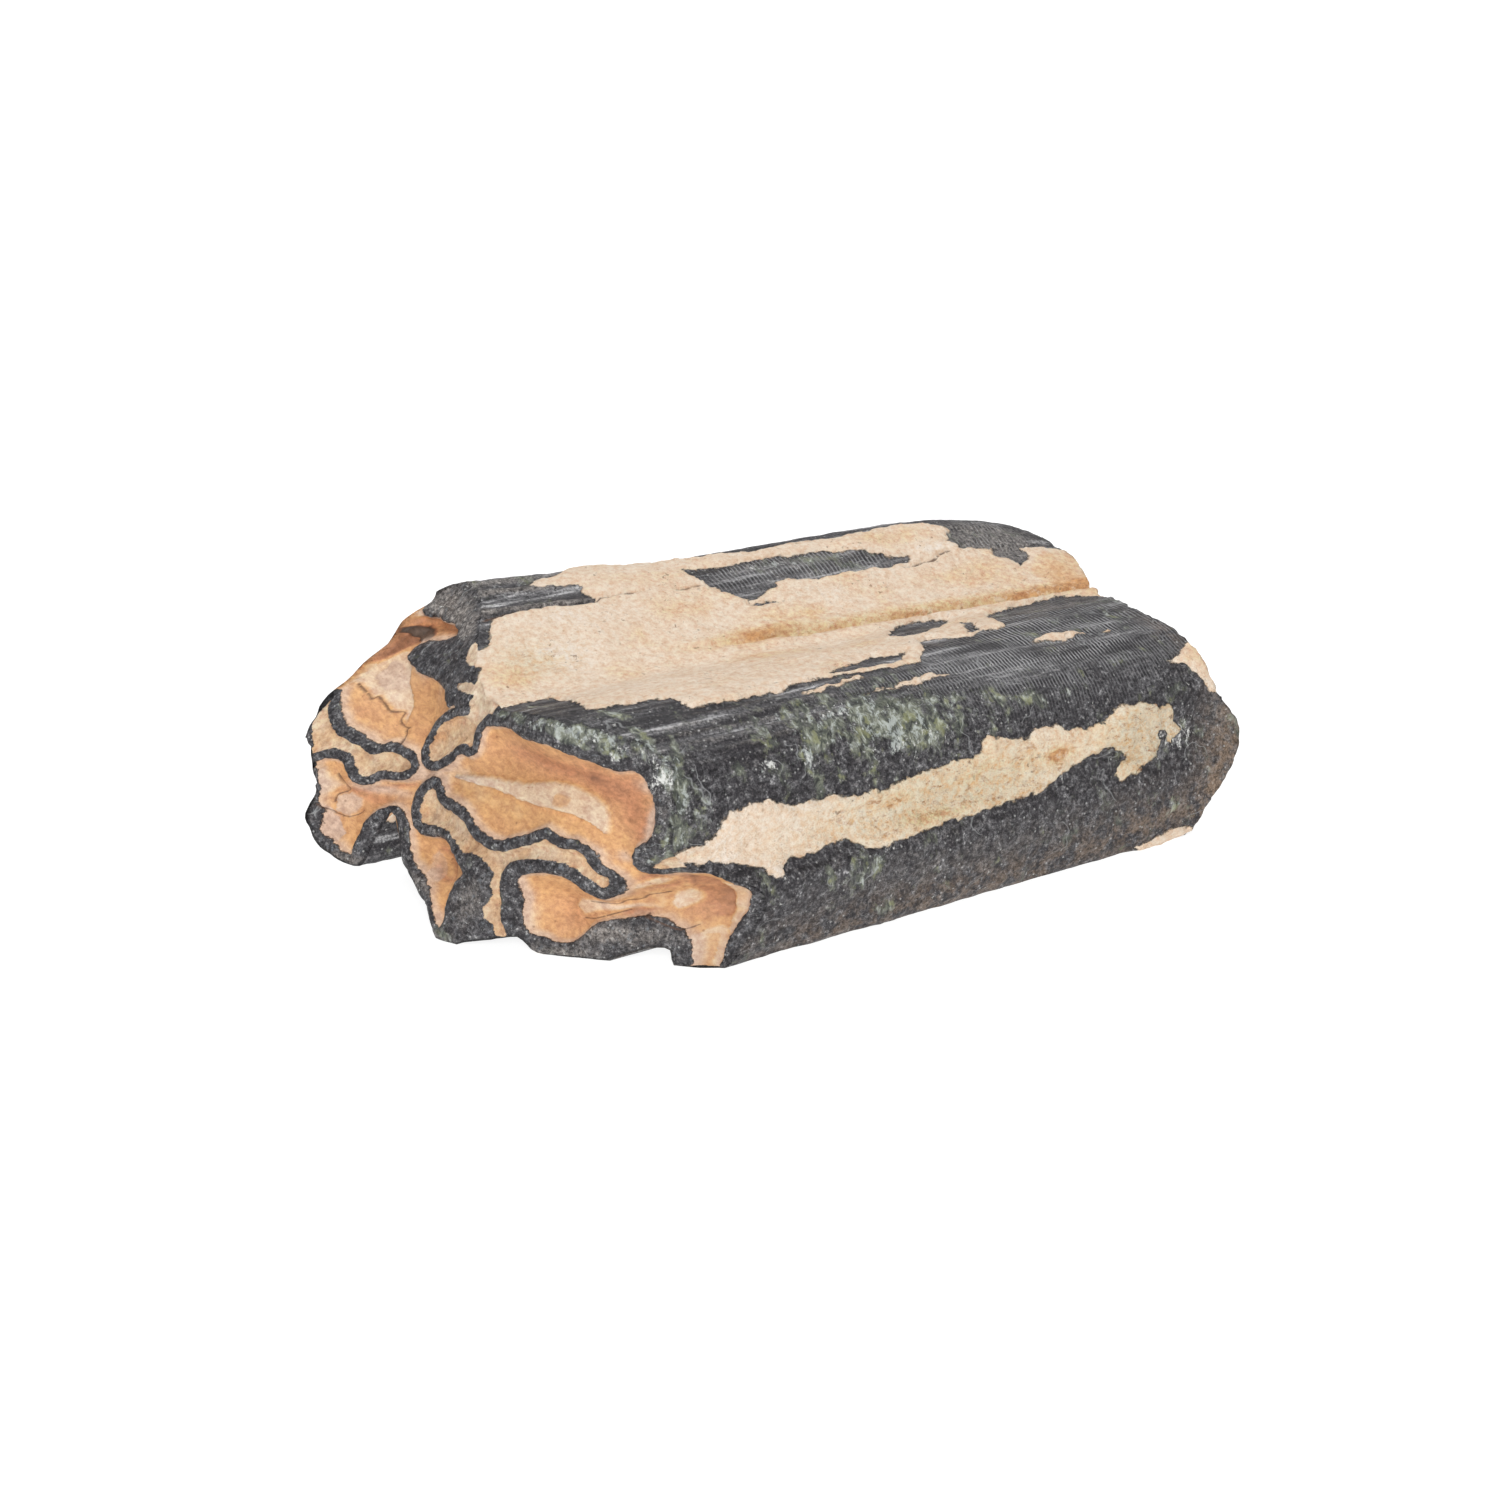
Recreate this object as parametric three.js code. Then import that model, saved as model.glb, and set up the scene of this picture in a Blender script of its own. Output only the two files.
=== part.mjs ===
// Fossil horse tooth: the crown of a lower cheek tooth, lying on its tongue side.
//
// X runs along the crown, from the chewing face (-X) to the broken root end (+X).
// Y runs across the jaw line: -Y is the hind side of the tooth, +Y the front side.
// Z points up: +Z is the cheek side, and the tongue side rests on Z = 0.
// The crown is one grown piece, so it is one mesh: a wall lofted between two outlines,
// closed by the worn chewing face at one end and by a rough break at the other.
import * as THREE from 'three';

// Driving dimensions, millimetres.
const CROWN_LENGTH = 57.0; // highest cusp of the chewing face to the far tip of the break
const CROWN_WIDTH = 30.5; // hind side to front side
const CROWN_DEPTH = 17.3; // tongue side to cheek side

// Fineness of the facets.
const STEPS_AROUND = 124;
const STEPS_ALONG = 13;
const CHEWING_RINGS = 13;
const BREAK_RINGS = 6;

// The outline at the chewing face and at the break, as matching [y, z] pairs:
// up the hind side, over the cheek side, down the front side, back along the tongue side.
const HIND_SIDE = [
  { chewing: [-13.2, 0.0], broken: [-12.9, 0.1] },
  { chewing: [-13.9, 2.5], broken: [-13.4, 2.2] },
  { chewing: [-14.2, 5.0], broken: [-13.3, 4.6] },
  { chewing: [-12.9, 7.2], broken: [-12.6, 7.4] },
  { chewing: [-13.0, 9.5], broken: [-12.4, 9.6] },
  { chewing: [-12.5, 11.6], broken: [-11.5, 11.2] },
  { chewing: [-11.4, 13.4], broken: [-9.9, 12.2] },
];
const CHEEK_SIDE = [
  { chewing: [-8.9, 14.8], broken: [-7.8, 12.9] },
  { chewing: [-5.9, 15.3], broken: [-5.0, 13.1] },
  { chewing: [-2.4, 14.9], broken: [-2.2, 12.9] },
  { chewing: [1.4, 14.0], broken: [1.4, 11.9] }, // the long groove between the two lobes
  { chewing: [4.4, 14.7], broken: [4.0, 12.1] },
  { chewing: [8.0, 16.2], broken: [6.8, 12.5] },
  { chewing: [12.2, 17.2], broken: [10.0, 13.1] },
  { chewing: [15.0, 17.0], broken: [12.0, 13.2] },
];
const FRONT_SIDE = [
  { chewing: [16.2, 15.6], broken: [13.0, 12.5] },
  { chewing: [16.2, 13.6], broken: [13.2, 11.0] },
  { chewing: [15.9, 11.6], broken: [12.9, 9.2] },
  { chewing: [15.2, 9.5], broken: [12.2, 7.6] },
  { chewing: [13.6, 8.0], broken: [11.4, 6.6] },
  { chewing: [12.6, 6.6], broken: [10.8, 5.6] },
  { chewing: [12.5, 4.6], broken: [10.4, 3.8] },
  { chewing: [11.9, 3.1], broken: [9.8, 1.8] },
];
const TONGUE_SIDE = [
  { chewing: [10.5, 2.1], broken: [9.0, 0.1] },
  { chewing: [9.2, 1.9], broken: [8.0, 0.0] },
  { chewing: [8.7, 3.4], broken: [7.4, 0.5] },
  { chewing: [8.1, 5.4], broken: [7.0, 0.7] }, // the cleft of the double knot
  { chewing: [7.3, 4.4], broken: [6.4, 0.6] },
  { chewing: [6.8, 3.0], broken: [5.8, 0.3] },
  { chewing: [4.5, 1.9], broken: [3.8, 0.1] },
  { chewing: [2.4, 1.3], broken: [2.0, 0.1] },
  { chewing: [0.7, 0.2], broken: [0.6, 0.0] },
  { chewing: [-0.6, 0.0], broken: [-0.8, 0.0] },
  { chewing: [-2.4, 0.5], broken: [-2.4, 0.3] },
  { chewing: [-4.0, 0.9], broken: [-3.8, 0.4] },
  { chewing: [-4.9, 0.3], broken: [-4.8, 0.1] },
  { chewing: [-6.2, 0.0], broken: [-6.2, 0.0] },
  { chewing: [-8.2, 0.0], broken: [-8.0, 0.0] },
  { chewing: [-10.0, 1.0], broken: [-9.7, 0.4] },
  { chewing: [-10.9, 1.0], broken: [-10.5, 0.4] },
  { chewing: [-11.3, 0.0], broken: [-11.0, 0.0] },
];
const OUTLINE = [...HIND_SIDE, ...CHEEK_SIDE, ...FRONT_SIDE, ...TONGUE_SIDE];

// How far each end lies along X at a few places [y, z, x]; a smooth sheet joins them.
const CHEWING_PLACES = [
  [9.9, 2.0, -1.3], // inner front cusp of the double knot
  [-0.6, 0.0, 0.0], // inner hind cusp of the double knot
  [8.8, 4.0, 0.3], // tip of the cleft between them
  [6.5, 3.0, 1.1],
  [6.4, 8.0, 2.6], // the narrow waist where the dentine lakes meet
  [-6.3, 0.0, 5.2], // inner hind cusp
  [-12.0, 0.0, 10.9],
  [-13.8, 5.0, 14.5], // the hind heel, broken back
  [-13.0, 8.5, 8.7],
  [-9.7, 5.5, 7.8],
  [-10.3, 13.0, 9.2],
  [-5.6, 15.0, 5.7], // hind cheek lobe
  [1.0, 14.0, 5.3], // groove between the lobes
  [5.4, 14.8, 5.7],
  [14.1, 15.5, 8.5], // front cheek lobe, chipped back
  [12.0, 17.3, 10.4],
  [15.0, 17.2, 10.4],
  [15.6, 11.0, 1.4],
  [15.2, 9.5, -0.7],
  [12.4, 6.0, -2.4], // front edge
];
const BREAK_PLACES = [
  [-12.9, 0.5, 49.4],
  [-13.1, 2.0, 50.4],
  [-13.1, 4.0, 52.3],
  [-12.6, 7.0, 53.7],
  [-12.6, 9.5, 51.6],
  [-9.6, 12.3, 51.4],
  [-4.5, 13.0, 50.6],
  [0.0, 12.0, 51.9],
  [3.3, 12.0, 53.0],
  [7.9, 12.5, 54.4],
  [10.0, 13.0, 54.1],
  [13.0, 13.0, 52.8],
  [12.0, 6.0, 53.0],
  [8.0, 0.0, 52.0],
  [0.0, 0.0, 50.6],
  [0.0, 6.5, 49.4],
];
const SHEET_SLACK = 2.0; // lets the sheet pass near its places instead of through them

// Hollows worn or broken into the two ends: middle, reach in Y and Z, and depth.
const CHEWING_HOLLOWS = [
  { y: -3.6, z: 11.2, reachY: 4.6, reachZ: 1.5, depth: 1.1 }, // hind cheek lobe
  { y: 10.6, z: 11.2, reachY: 2.4, reachZ: 1.7, depth: 0.8 }, // front cheek lobe
  { y: 11.2, z: 5.0, reachY: 1.4, reachZ: 1.6, depth: 0.6 }, // inner front cusp
  { y: 3.2, z: 4.0, reachY: 1.5, reachZ: 1.5, depth: 0.7 }, // knot
  { y: -4.8, z: 3.2, reachY: 1.9, reachZ: 1.3, depth: 1.0 }, // inner hind cusp
  { y: -10.9, z: 4.0, reachY: 1.6, reachZ: 1.3, depth: 0.9 }, // heel
  { y: 14.6, z: 14.4, reachY: 1.1, reachZ: 0.9, depth: 0.9 }, // chip above the front lobe
];
const BREAK_HOLLOWS = [
  { y: -6.0, z: 7.6, reachY: 3.2, reachZ: 1.9, depth: 2.2 }, // pulp of the hind half
  { y: 6.8, z: 7.2, reachY: 2.8, reachZ: 2.0, depth: 1.8 }, // pulp of the front half
  { y: -9.6, z: 3.2, reachY: 1.4, reachZ: 1.2, depth: 1.2 },
];

// The front lobe keeps its height past the middle of the crown, then rounds off.
const CREST = { y: 12, reachY: 4.5, from: 6, to: 11, rise: 17 };

// Low places within this height of the ground are worn flat, so the tooth rests on them.
const REST_WEAR = 0.12;

function smoothstep(value, low, high) {
  const part = THREE.MathUtils.clamp((value - low) / (high - low), 0, 1);
  return part * part * (3 - 2 * part);
}

function bell(distance, reach) {
  return Math.exp(-((distance / reach) ** 2));
}

// Solves a square system by elimination, largest pivot first.
function solve(rows) {
  const size = rows.length;
  for (let column = 0; column < size; column += 1) {
    let pivot = column;
    for (let row = column + 1; row < size; row += 1) {
      if (Math.abs(rows[row][column]) > Math.abs(rows[pivot][column])) pivot = row;
    }
    [rows[column], rows[pivot]] = [rows[pivot], rows[column]];
    for (let row = 0; row < size; row += 1) {
      if (row === column) continue;
      const factor = rows[row][column] / rows[column][column];
      for (let k = column; k <= size; k += 1) rows[row][k] -= factor * rows[column][k];
    }
  }
  return rows.map((row, index) => row[size] / row[index]);
}

function plateKernel(dy, dz) {
  const squared = dy * dy + dz * dz;
  return squared > 0 ? 0.5 * squared * Math.log(squared) : 0;
}

// A thin bent sheet near the given [y, z, x] places, returned as x(y, z).
function thinSheet(places) {
  const count = places.length;
  const rows = places.map(([y, z, x], i) => [
    ...places.map(([py, pz], j) => plateKernel(y - py, z - pz) + (i === j ? SHEET_SLACK : 0)),
    1, y, z, x,
  ]);
  for (const pick of [() => 1, ([y]) => y, ([, z]) => z]) {
    rows.push([...places.map(pick), 0, 0, 0, 0]);
  }
  const weights = solve(rows);
  const [base, slopeY, slopeZ] = weights.slice(count);
  return (y, z) => places.reduce(
    (sum, [py, pz], i) => sum + weights[i] * plateKernel(y - py, z - pz),
    base + slopeY * y + slopeZ * z,
  );
}

function hollowDepth(hollows, y, z) {
  return hollows.reduce(
    (sum, h) => sum + h.depth * bell(y - h.y, h.reachY) * bell(z - h.z, h.reachZ),
    0,
  );
}

const chewingSheet = thinSheet(CHEWING_PLACES);
const breakSheet = thinSheet(BREAK_PLACES);
const chewingFace = (y, z) => chewingSheet(y, z) + hollowDepth(CHEWING_HOLLOWS, y, z);
const breakFace = (y, z) => breakSheet(y, z) - hollowDepth(BREAK_HOLLOWS, y, z);

// The rim of one end: the smooth closed outline, lifted onto the sheet of that end.
function rim(end, sheet) {
  const points = OUTLINE.map((pair) => new THREE.Vector3(0, ...pair[end]));
  const curve = new THREE.CatmullRomCurve3(points, true, 'catmullrom');
  return Array.from({ length: STEPS_AROUND }, (_, i) => {
    const point = curve.getPoint(i / STEPS_AROUND);
    point.x = sheet(point.y, point.z);
    return point;
  });
}

function settle(point) {
  if (point.z < REST_WEAR) point.z = 0;
  return point;
}

function wallPoint(front, back, t) {
  const point = front.clone().lerp(back, t);
  const crest = bell(point.y - CREST.y, CREST.reachY) * smoothstep(point.z, CREST.from, CREST.to);
  point.z += crest * CREST.rise * t ** 4 * (1 - t);
  return settle(point);
}

// The middle line of an end: each of its points lies halfway between the cheek side
// and the tongue side of the rim.
function middleLine(ring) {
  const half = STEPS_AROUND / 2;
  const line = Array.from({ length: half + 1 }, (_, j) => {
    const partner = ring[(STEPS_AROUND - j) % STEPS_AROUND];
    return ring[j].clone().lerp(partner, 0.5);
  });
  line[0].lerp(line[1], 0.5);
  line[half].lerp(line[half - 1], 0.5);
  return line;
}

function buildTooth() {
  const positions = [];
  const indices = [];
  const add = (point) => positions.push(point.x, point.y, point.z) / 3 - 1;
  const addRing = (ring) => ring.map(add);

  // Joins two rings of vertex numbers; "flip" turns the faces over.
  const join = (near, far, flip) => {
    near.forEach((a, i) => {
      const next = (i + 1) % near.length;
      const [b, c, d] = [near[next], far[next], far[i]];
      const faces = [[a, c, b], [a, d, c]];
      for (const face of faces) {
        if (new Set(face).size < 3) continue;
        indices.push(...(flip ? face.reverse() : face));
      }
    });
  };

  const cap = (rimNumbers, ring, surface, rings, flip) => {
    const line = middleLine(ring);
    const atSurface = (point) => settle(point).setX(surface(point.y, point.z));
    let outer = rimNumbers;
    for (let k = 1; k < rings; k += 1) {
      const inward = ring.map((point, i) => {
        const j = Math.min(i, STEPS_AROUND - i);
        return atSurface(point.clone().lerp(line[j], k / rings));
      });
      const inner = addRing(inward);
      join(outer, inner, flip);
      outer = inner;
    }
    const lineNumbers = line.map((point) => add(atSurface(point.clone())));
    const middle = ring.map((_, i) => lineNumbers[Math.min(i, STEPS_AROUND - i)]);
    join(outer, middle, flip);
  };

  const front = rim('chewing', chewingFace);
  const back = rim('broken', breakFace);
  const wall = [];
  for (let k = 0; k <= STEPS_ALONG; k += 1) {
    wall.push(addRing(front.map((point, i) => wallPoint(point, back[i], k / STEPS_ALONG))));
  }
  for (let k = 0; k < STEPS_ALONG; k += 1) join(wall[k], wall[k + 1], false);
  cap(wall[0], front.map(settle), chewingFace, CHEWING_RINGS, true);
  cap(wall[STEPS_ALONG], back.map(settle), breakFace, BREAK_RINGS, false);

  const geometry = new THREE.BufferGeometry();
  geometry.setAttribute('position', new THREE.Float32BufferAttribute(positions, 3));
  geometry.setIndex(indices);
  return geometry;
}

// Brings the tooth to its driving dimensions, centred over the origin and resting on Z = 0.
function sizeAndSeat(geometry) {
  geometry.computeBoundingBox();
  const size = geometry.boundingBox.getSize(new THREE.Vector3());
  geometry.scale(CROWN_LENGTH / size.x, CROWN_WIDTH / size.y, CROWN_DEPTH / size.z);
  geometry.computeBoundingBox();
  const centre = geometry.boundingBox.getCenter(new THREE.Vector3());
  geometry.translate(-centre.x, -centre.y, -geometry.boundingBox.min.z);
  geometry.computeVertexNormals();
  return geometry;
}

const enamel = new THREE.MeshStandardMaterial({ color: '#3f4042', roughness: 0.55, metalness: 0 });
const tooth = new THREE.Mesh(sizeAndSeat(buildTooth()), enamel);
tooth.name = 'tooth';

const fossil = new THREE.Group();
fossil.add(tooth);

export default fossil;
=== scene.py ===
# Looks of a fossil horse tooth: the crown of a lower cheek tooth, lying on its tongue side.
#
# All shape numbers are millimetres, in the frame the tooth was measured in: X along the
# crown from the chewing face to the break, Y across from the hind side to the front side,
# Z up from the tongue side to the cheek side. SEAT and FIT bring them to the row frame.
import math

import bpy
import numpy as np
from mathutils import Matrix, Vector, noise
from mathutils.geometry import delaunay_2d_cdt


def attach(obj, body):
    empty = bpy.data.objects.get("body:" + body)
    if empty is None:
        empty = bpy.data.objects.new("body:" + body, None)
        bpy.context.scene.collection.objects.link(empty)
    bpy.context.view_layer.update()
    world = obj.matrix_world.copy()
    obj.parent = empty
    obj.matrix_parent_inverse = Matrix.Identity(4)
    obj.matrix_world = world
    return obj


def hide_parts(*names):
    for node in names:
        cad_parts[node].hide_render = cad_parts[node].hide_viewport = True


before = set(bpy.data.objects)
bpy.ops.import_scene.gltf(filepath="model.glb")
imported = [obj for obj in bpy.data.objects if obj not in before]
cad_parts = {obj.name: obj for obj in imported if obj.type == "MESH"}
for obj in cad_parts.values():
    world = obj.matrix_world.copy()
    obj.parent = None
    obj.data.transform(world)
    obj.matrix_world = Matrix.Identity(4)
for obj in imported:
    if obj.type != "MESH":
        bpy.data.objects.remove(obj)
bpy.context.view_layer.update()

MM = 0.001
SEAT = np.array([25.852, 1.026, 0.0])
FIT = np.array([0.9991, 0.9984, 1.0017])

# Fineness of the mesh, in millimetres or as a number of steps.
FINE_AROUND = 0.2
COARSE_AROUND = 0.31
STEPS_ALONG = 176
FACE_SPACING = 0.14
BREAK_SPACING = 0.26
SEEN_GIRTH = 45.0  # the wall is fine up to here
OUTLINE_SAMPLES = 4001
BREAK_SAMPLES = 330
RIM_CLEARANCE = 0.62  # lattice points keep this share of the spacing from the outline
EXTRA_CLEARANCE = 0.6  # and this share from the points along cracks
CRACK_SPACING = 0.4 * FACE_SPACING
BREAK_LIMIT = 44.0  # the break's relief goes no deeper than this X
FAR = 2.0  # a distance that is far enough for any look
BATCH = 4000  # points measured at a time

# The photographer's camera, placed in the tooth's own millimetres, and the studio floor in metres.
CAMERA_PLACE = np.array([-115.256, -209.237, 111.137])
AZIMUTH = math.radians(-33.5)
ELEVATION = math.radians(22.5)
SENSOR_WIDTH = 36.0
FOCAL_PIXELS = 4200
FRAME_PIXELS = 1500
FLOOR_REACH = 3.0
SKY_LIGHT = 0.3
# Area lights: name, place and size in metres, and watts.
LIGHTS = [('key', (-0.36, -0.5, 0.36), 0.3, 3.9), ('top', (0.12, 0.22, 0.62), 0.4, 2.7)]

# ---------------------------------------------------------------- the outline of the crown
# Matching points (chewing y, chewing z, broken y, broken z) of the two end outlines. The long
# groove between the cheek lobes is at y 1.4, and the cleft of the double knot at y 8.1, z 5.4.
HIND_SIDE = [
    (-13.2, 0, -12.9, 0.1), (-13.9, 2.5, -13.4, 2.2), (-14.2, 5, -13.3, 4.6), (-12.9, 7.2, -12.6, 7.4),
    (-13, 9.5, -12.4, 9.6), (-12.5, 11.6, -11.5, 11.2), (-11.4, 13.4, -9.9, 12.2),
]
CHEEK_SIDE = [
    (-8.9, 14.8, -7.8, 12.9), (-5.9, 15.3, -5, 13.1), (-2.4, 14.9, -2.2, 12.9), (1.4, 14, 1.4, 11.9),
    (4.4, 14.7, 4, 12.1), (8, 16.2, 6.8, 12.5), (12.2, 17.2, 10, 13.1), (15, 17, 12, 13.2),
]
FRONT_SIDE = [
    (16.2, 15.6, 13, 12.5), (16.2, 13.6, 13.2, 11), (15.9, 11.6, 12.9, 9.2), (15.2, 9.5, 12.2, 7.6),
    (13.6, 8, 11.4, 6.6), (12.6, 6.6, 10.8, 5.6), (12.5, 4.6, 10.4, 3.8), (11.9, 3.1, 9.8, 1.8),
]
TONGUE_SIDE = [
    (10.5, 2.1, 9, 0.1), (9.2, 1.9, 8, 0), (8.7, 3.4, 7.4, 0.5), (8.1, 5.4, 7, 0.7),
    (7.3, 4.4, 6.4, 0.6), (6.8, 3, 5.8, 0.3), (4.5, 1.9, 3.8, 0.1), (2.4, 1.3, 2, 0.1),
    (0.7, 0.2, 0.6, 0), (-0.6, 0, -0.8, 0), (-2.4, 0.5, -2.4, 0.3), (-4, 0.9, -3.8, 0.4),
    (-4.9, 0.3, -4.8, 0.1), (-6.2, 0, -6.2, 0), (-8.2, 0, -8, 0), (-10, 1, -9.7, 0.4),
    (-10.9, 1, -10.5, 0.4), (-11.3, 0, -11, 0),
]
OUTLINE = np.array(HIND_SIDE + CHEEK_SIDE + FRONT_SIDE + TONGUE_SIDE)

# How far each end lies along X at a few places (y, z, x).
CHEWING_PLACES = [
    (9.9, 2, -1.3), (-0.6, 0, 0), (8.8, 4, 0.3), (6.5, 3, 1.1), (6.4, 8, 2.6), (-6.3, 0, 5.2),
    (-12, 0, 10.9), (-13.8, 5, 14.5), (-13, 8.5, 8.7), (-9.7, 5.5, 7.8), (-10.3, 13, 9.2),
    (-5.6, 15, 5.7), (1, 14, 5.3), (5.4, 14.8, 5.7), (14.1, 15.5, 8.5), (12, 17.3, 10.4),
    (15, 17.2, 10.4), (15.6, 11, 1.4), (15.2, 9.5, -0.7), (12.4, 6, -2.4),
]
BREAK_PLACES = [
    (-12.9, 0.5, 49.4), (-13.1, 2, 50.4), (-13.1, 4, 52.3), (-12.6, 7, 53.7), (-12.6, 9.5, 51.6),
    (-9.6, 12.3, 51.4), (-4.5, 13, 50.6), (0, 12, 51.9), (3.3, 12, 53), (7.9, 12.5, 54.4),
    (10, 13, 54.1), (13, 13, 52.8), (12, 6, 53), (8, 0, 52), (0, 0, 50.6), (0, 6.5, 49.4),
]
SHEET_SLACK = 2.0

# The material fields that each vertex carries.
FIELDS = (
    "hard", "pale", "tone", "blush", "bloom", "frost", "ash", "lines", "ribbed", "film", "stain",
    "crumbs", "crack", "side",
)

# Hollows of the two ends: y, z, reach in y, reach in z, depth.
CHEWING_HOLLOWS = [
    (-3.6, 11.2, 4.6, 1.5, 1.1), (10.6, 11.2, 2.4, 1.7, 0.8), (11.2, 5, 1.4, 1.6, 0.6),
    (3.2, 4, 1.5, 1.5, 0.7), (-4.8, 3.2, 1.9, 1.3, 1), (-10.9, 4, 1.6, 1.3, 0.9),
    (14.6, 14.4, 1.1, 0.9, 0.9),
]
BREAK_HOLLOWS = [(-6, 7.6, 3.2, 1.9, 2.2), (6.8, 7.2, 2.8, 2, 1.8), (-9.6, 3.2, 1.4, 1.2, 1.2)]
# The front cheek lobe swells towards the break: its middle and reach in y, its strength, and
# the two heights between which it fades in.
CREST_Y, CREST_REACH, CREST_RISE = 12.0, 4.5, 17.0
CREST_FROM, CREST_TO = 6.0, 11.0
REST_WEAR = 0.12  # wall lower than this is flat on the ground
CLEFT_GIRTH, CLEFT_REACH = 64.6, 1.6  # the relief fades in this narrow cleft

# Wear of the chewing edge: least depth, depth of the noise, and reach along the crown. The
# break's edge has only the noise.
CHEWING_WEAR, CHEWING_WEAR_NOISE, CHEWING_WEAR_REACH = 0.06, 0.12, 0.35
BREAK_WEAR_NOISE, BREAK_WEAR_REACH = 0.30, 0.5
CHIP_REACH = 0.9  # of the chips in the chewing edge

# The break repeats the folds of the chewing face, stretched and shifted in (y, z).
BREAK_STRETCH = np.array([1.2, 1.28])
BREAK_SHIFT = np.array([0.3, 0.1])
BREAK_FOLD_HALF = 0.42  # half the thickness of its enamel folds
BREAK_SHELL = 0.75  # thickness of the enamel round it

# ---------------------------------------------------------------- the chewing face, (y, z)
# Middle lines of the enamel bands.
FRONT_FOLD = [
    (15.6, 11), (14.7, 10.4), (13.9, 10), (13.1, 9.6), (12.5, 9.5), (11.6, 9.3), (10.4, 9), (9.8, 9.2),
    (9.2, 9.3), (8.5, 9.2), (7.8, 9.1), (7.4, 8.8), (7.3, 8.4), (7.7, 8), (8.2, 7.8), (9.2, 7.7),
    (9.5, 7.5), (9.9, 7.2), (10.4, 7.2), (10.9, 7.6), (11.2, 8), (11.6, 8.3), (12.1, 8.4), (12.6, 8.4),
    (13, 8.3), (13.4, 8),
]
CHEEK_FOLD = [
    (4.2, 13), (5.2, 12.6), (6, 12.1), (6.6, 11.6), (6.8, 11), (6.9, 10.3), (6.9, 9.8), (6.7, 9.3),
    (6.2, 9), (5.5, 9.2), (4.8, 9.6), (4.3, 10.1), (3.9, 10.6), (3.4, 10.8), (2.8, 10.8), (2.4, 11.2),
    (2.5, 11.8), (2.5, 12.3), (2.2, 12.8), (1.9, 13.2),
]
HIND_LOBE = [
    (1.8, 13.1), (0.7, 13.4), (-0.7, 13.7), (-2, 13.7), (-3.4, 13.8), (-4.7, 14), (-5.8, 13.8),
    (-6.7, 13.6), (-7.5, 13.4), (-8.7, 13), (-9.6, 13.2), (-10.8, 12.4), (-11.4, 11.8), (-11.9, 11.2),
    (-12.3, 10.3), (-12.3, 9.6), (-12, 8.9), (-11.4, 8.4), (-10.9, 7.7), (-10.8, 7.1),
]
HEEL_TOP = [
    (-10.7, 7.1), (-10.9, 6.75), (-11.4, 6.75), (-12.2, 7), (-12.9, 7), (-13.6, 7), (-14.4, 6.9),
]
HEEL_EDGE = [
    (-13.2, 6.5), (-13.4, 5.8), (-13.7, 5), (-13.6, 4.4), (-13.4, 3.4), (-13.1, 2.6), (-13, 1.6),
    (-13, 0.8), (-13.05, 0), (-13.1, -0.8), (-11.9, -2),
]
HIND_FOLD_TOP = [
    (5.5, 8.1), (4.8, 8), (4.4, 7.6), (3.9, 7.4), (2.9, 7.4), (1.9, 7.4), (0.9, 7.2), (0.1, 6.8),
    (-0.9, 6.6), (-1.7, 6.5), (-2.6, 6.6), (-3.4, 7), (-4.2, 7.4), (-4.9, 7.8), (-5.6, 8.2), (-6.1, 8),
    (-6.7, 7.8), (-7.3, 7.9), (-7.9, 7.7), (-8.3, 7.3), (-8.5, 6.7), (-8.8, 6.3), (-9.1, 6.1),
    (-9.2, 5.7), (-9.1, 5.3), (-8.8, 4.9), (-8.5, 4.75), (-8.2, 4.7),
]
HIND_CUSP = [
    (-8.2, 4.7), (-7.8, 5), (-7.5, 5.4), (-7, 5.8), (-6.5, 6), (-5.8, 6), (-5, 5.9), (-4.3, 5.7),
    (-3.6, 5.3), (-3.3, 4.7), (-3.2, 3.9), (-3.3, 3.2), (-3.4, 2.5), (-3.7, 1.8), (-4.1, 1.2),
    (-4.6, 0.8),
]
HIND_CUSP_RIM = [
    (-4.6, 0.9), (-5.2, 0.75), (-5.8, 0.55), (-6.4, 0.5), (-6.9, 0.7), (-7.3, 1.1), (-7.7, 1.7),
    (-8, 2.1), (-8.5, 2.4), (-9.1, 2.5), (-9.7, 2.7), (-10.2, 2.6), (-10.6, 2.3), (-11, 1.8),
    (-11.3, 1.5), (-11.5, 0.8), (-11.6, 0.1),
]
KNOT_WALL = [
    (5.5, 8.1), (6, 7.7), (6.3, 7.2), (6.4, 6.6), (6.4, 6), (6.1, 5.4), (5.5, 5.1), (4.6, 5.2),
    (3.5, 5.4), (2.5, 5.3), (1.5, 5.1), (0.5, 4.8), (-0.4, 4.3), (-1, 3.7), (-1.2, 3), (-1.2, 2.3),
    (-1.1, 1.6), (-1.4, 0.9),
]
KNOT_RIM = [
    (9.4, 2.3), (9.5, 3), (9.4, 3.7), (9.3, 4.4), (8.9, 5.1), (8.4, 5.5), (7.8, 5.7), (7.3, 5.3),
    (6.9, 4.7), (6.6, 3.9), (6.1, 3.1), (5.2, 2.6), (4, 2.3), (2.9, 1.9), (2, 1.4), (1.3, 0.9),
    (0.4, 0.5), (-0.5, 0.4), (-1.2, 0.6),
]
FRONT_CUSP_RIM = [
    (13, 7.4), (12.5, 6.8), (12.3, 6.1), (12.3, 5.4), (12.1, 4.6), (11.9, 3.9), (11.5, 3.2),
    (10.9, 2.9), (10.4, 2.5), (9.8, 2.2),
]
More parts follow.
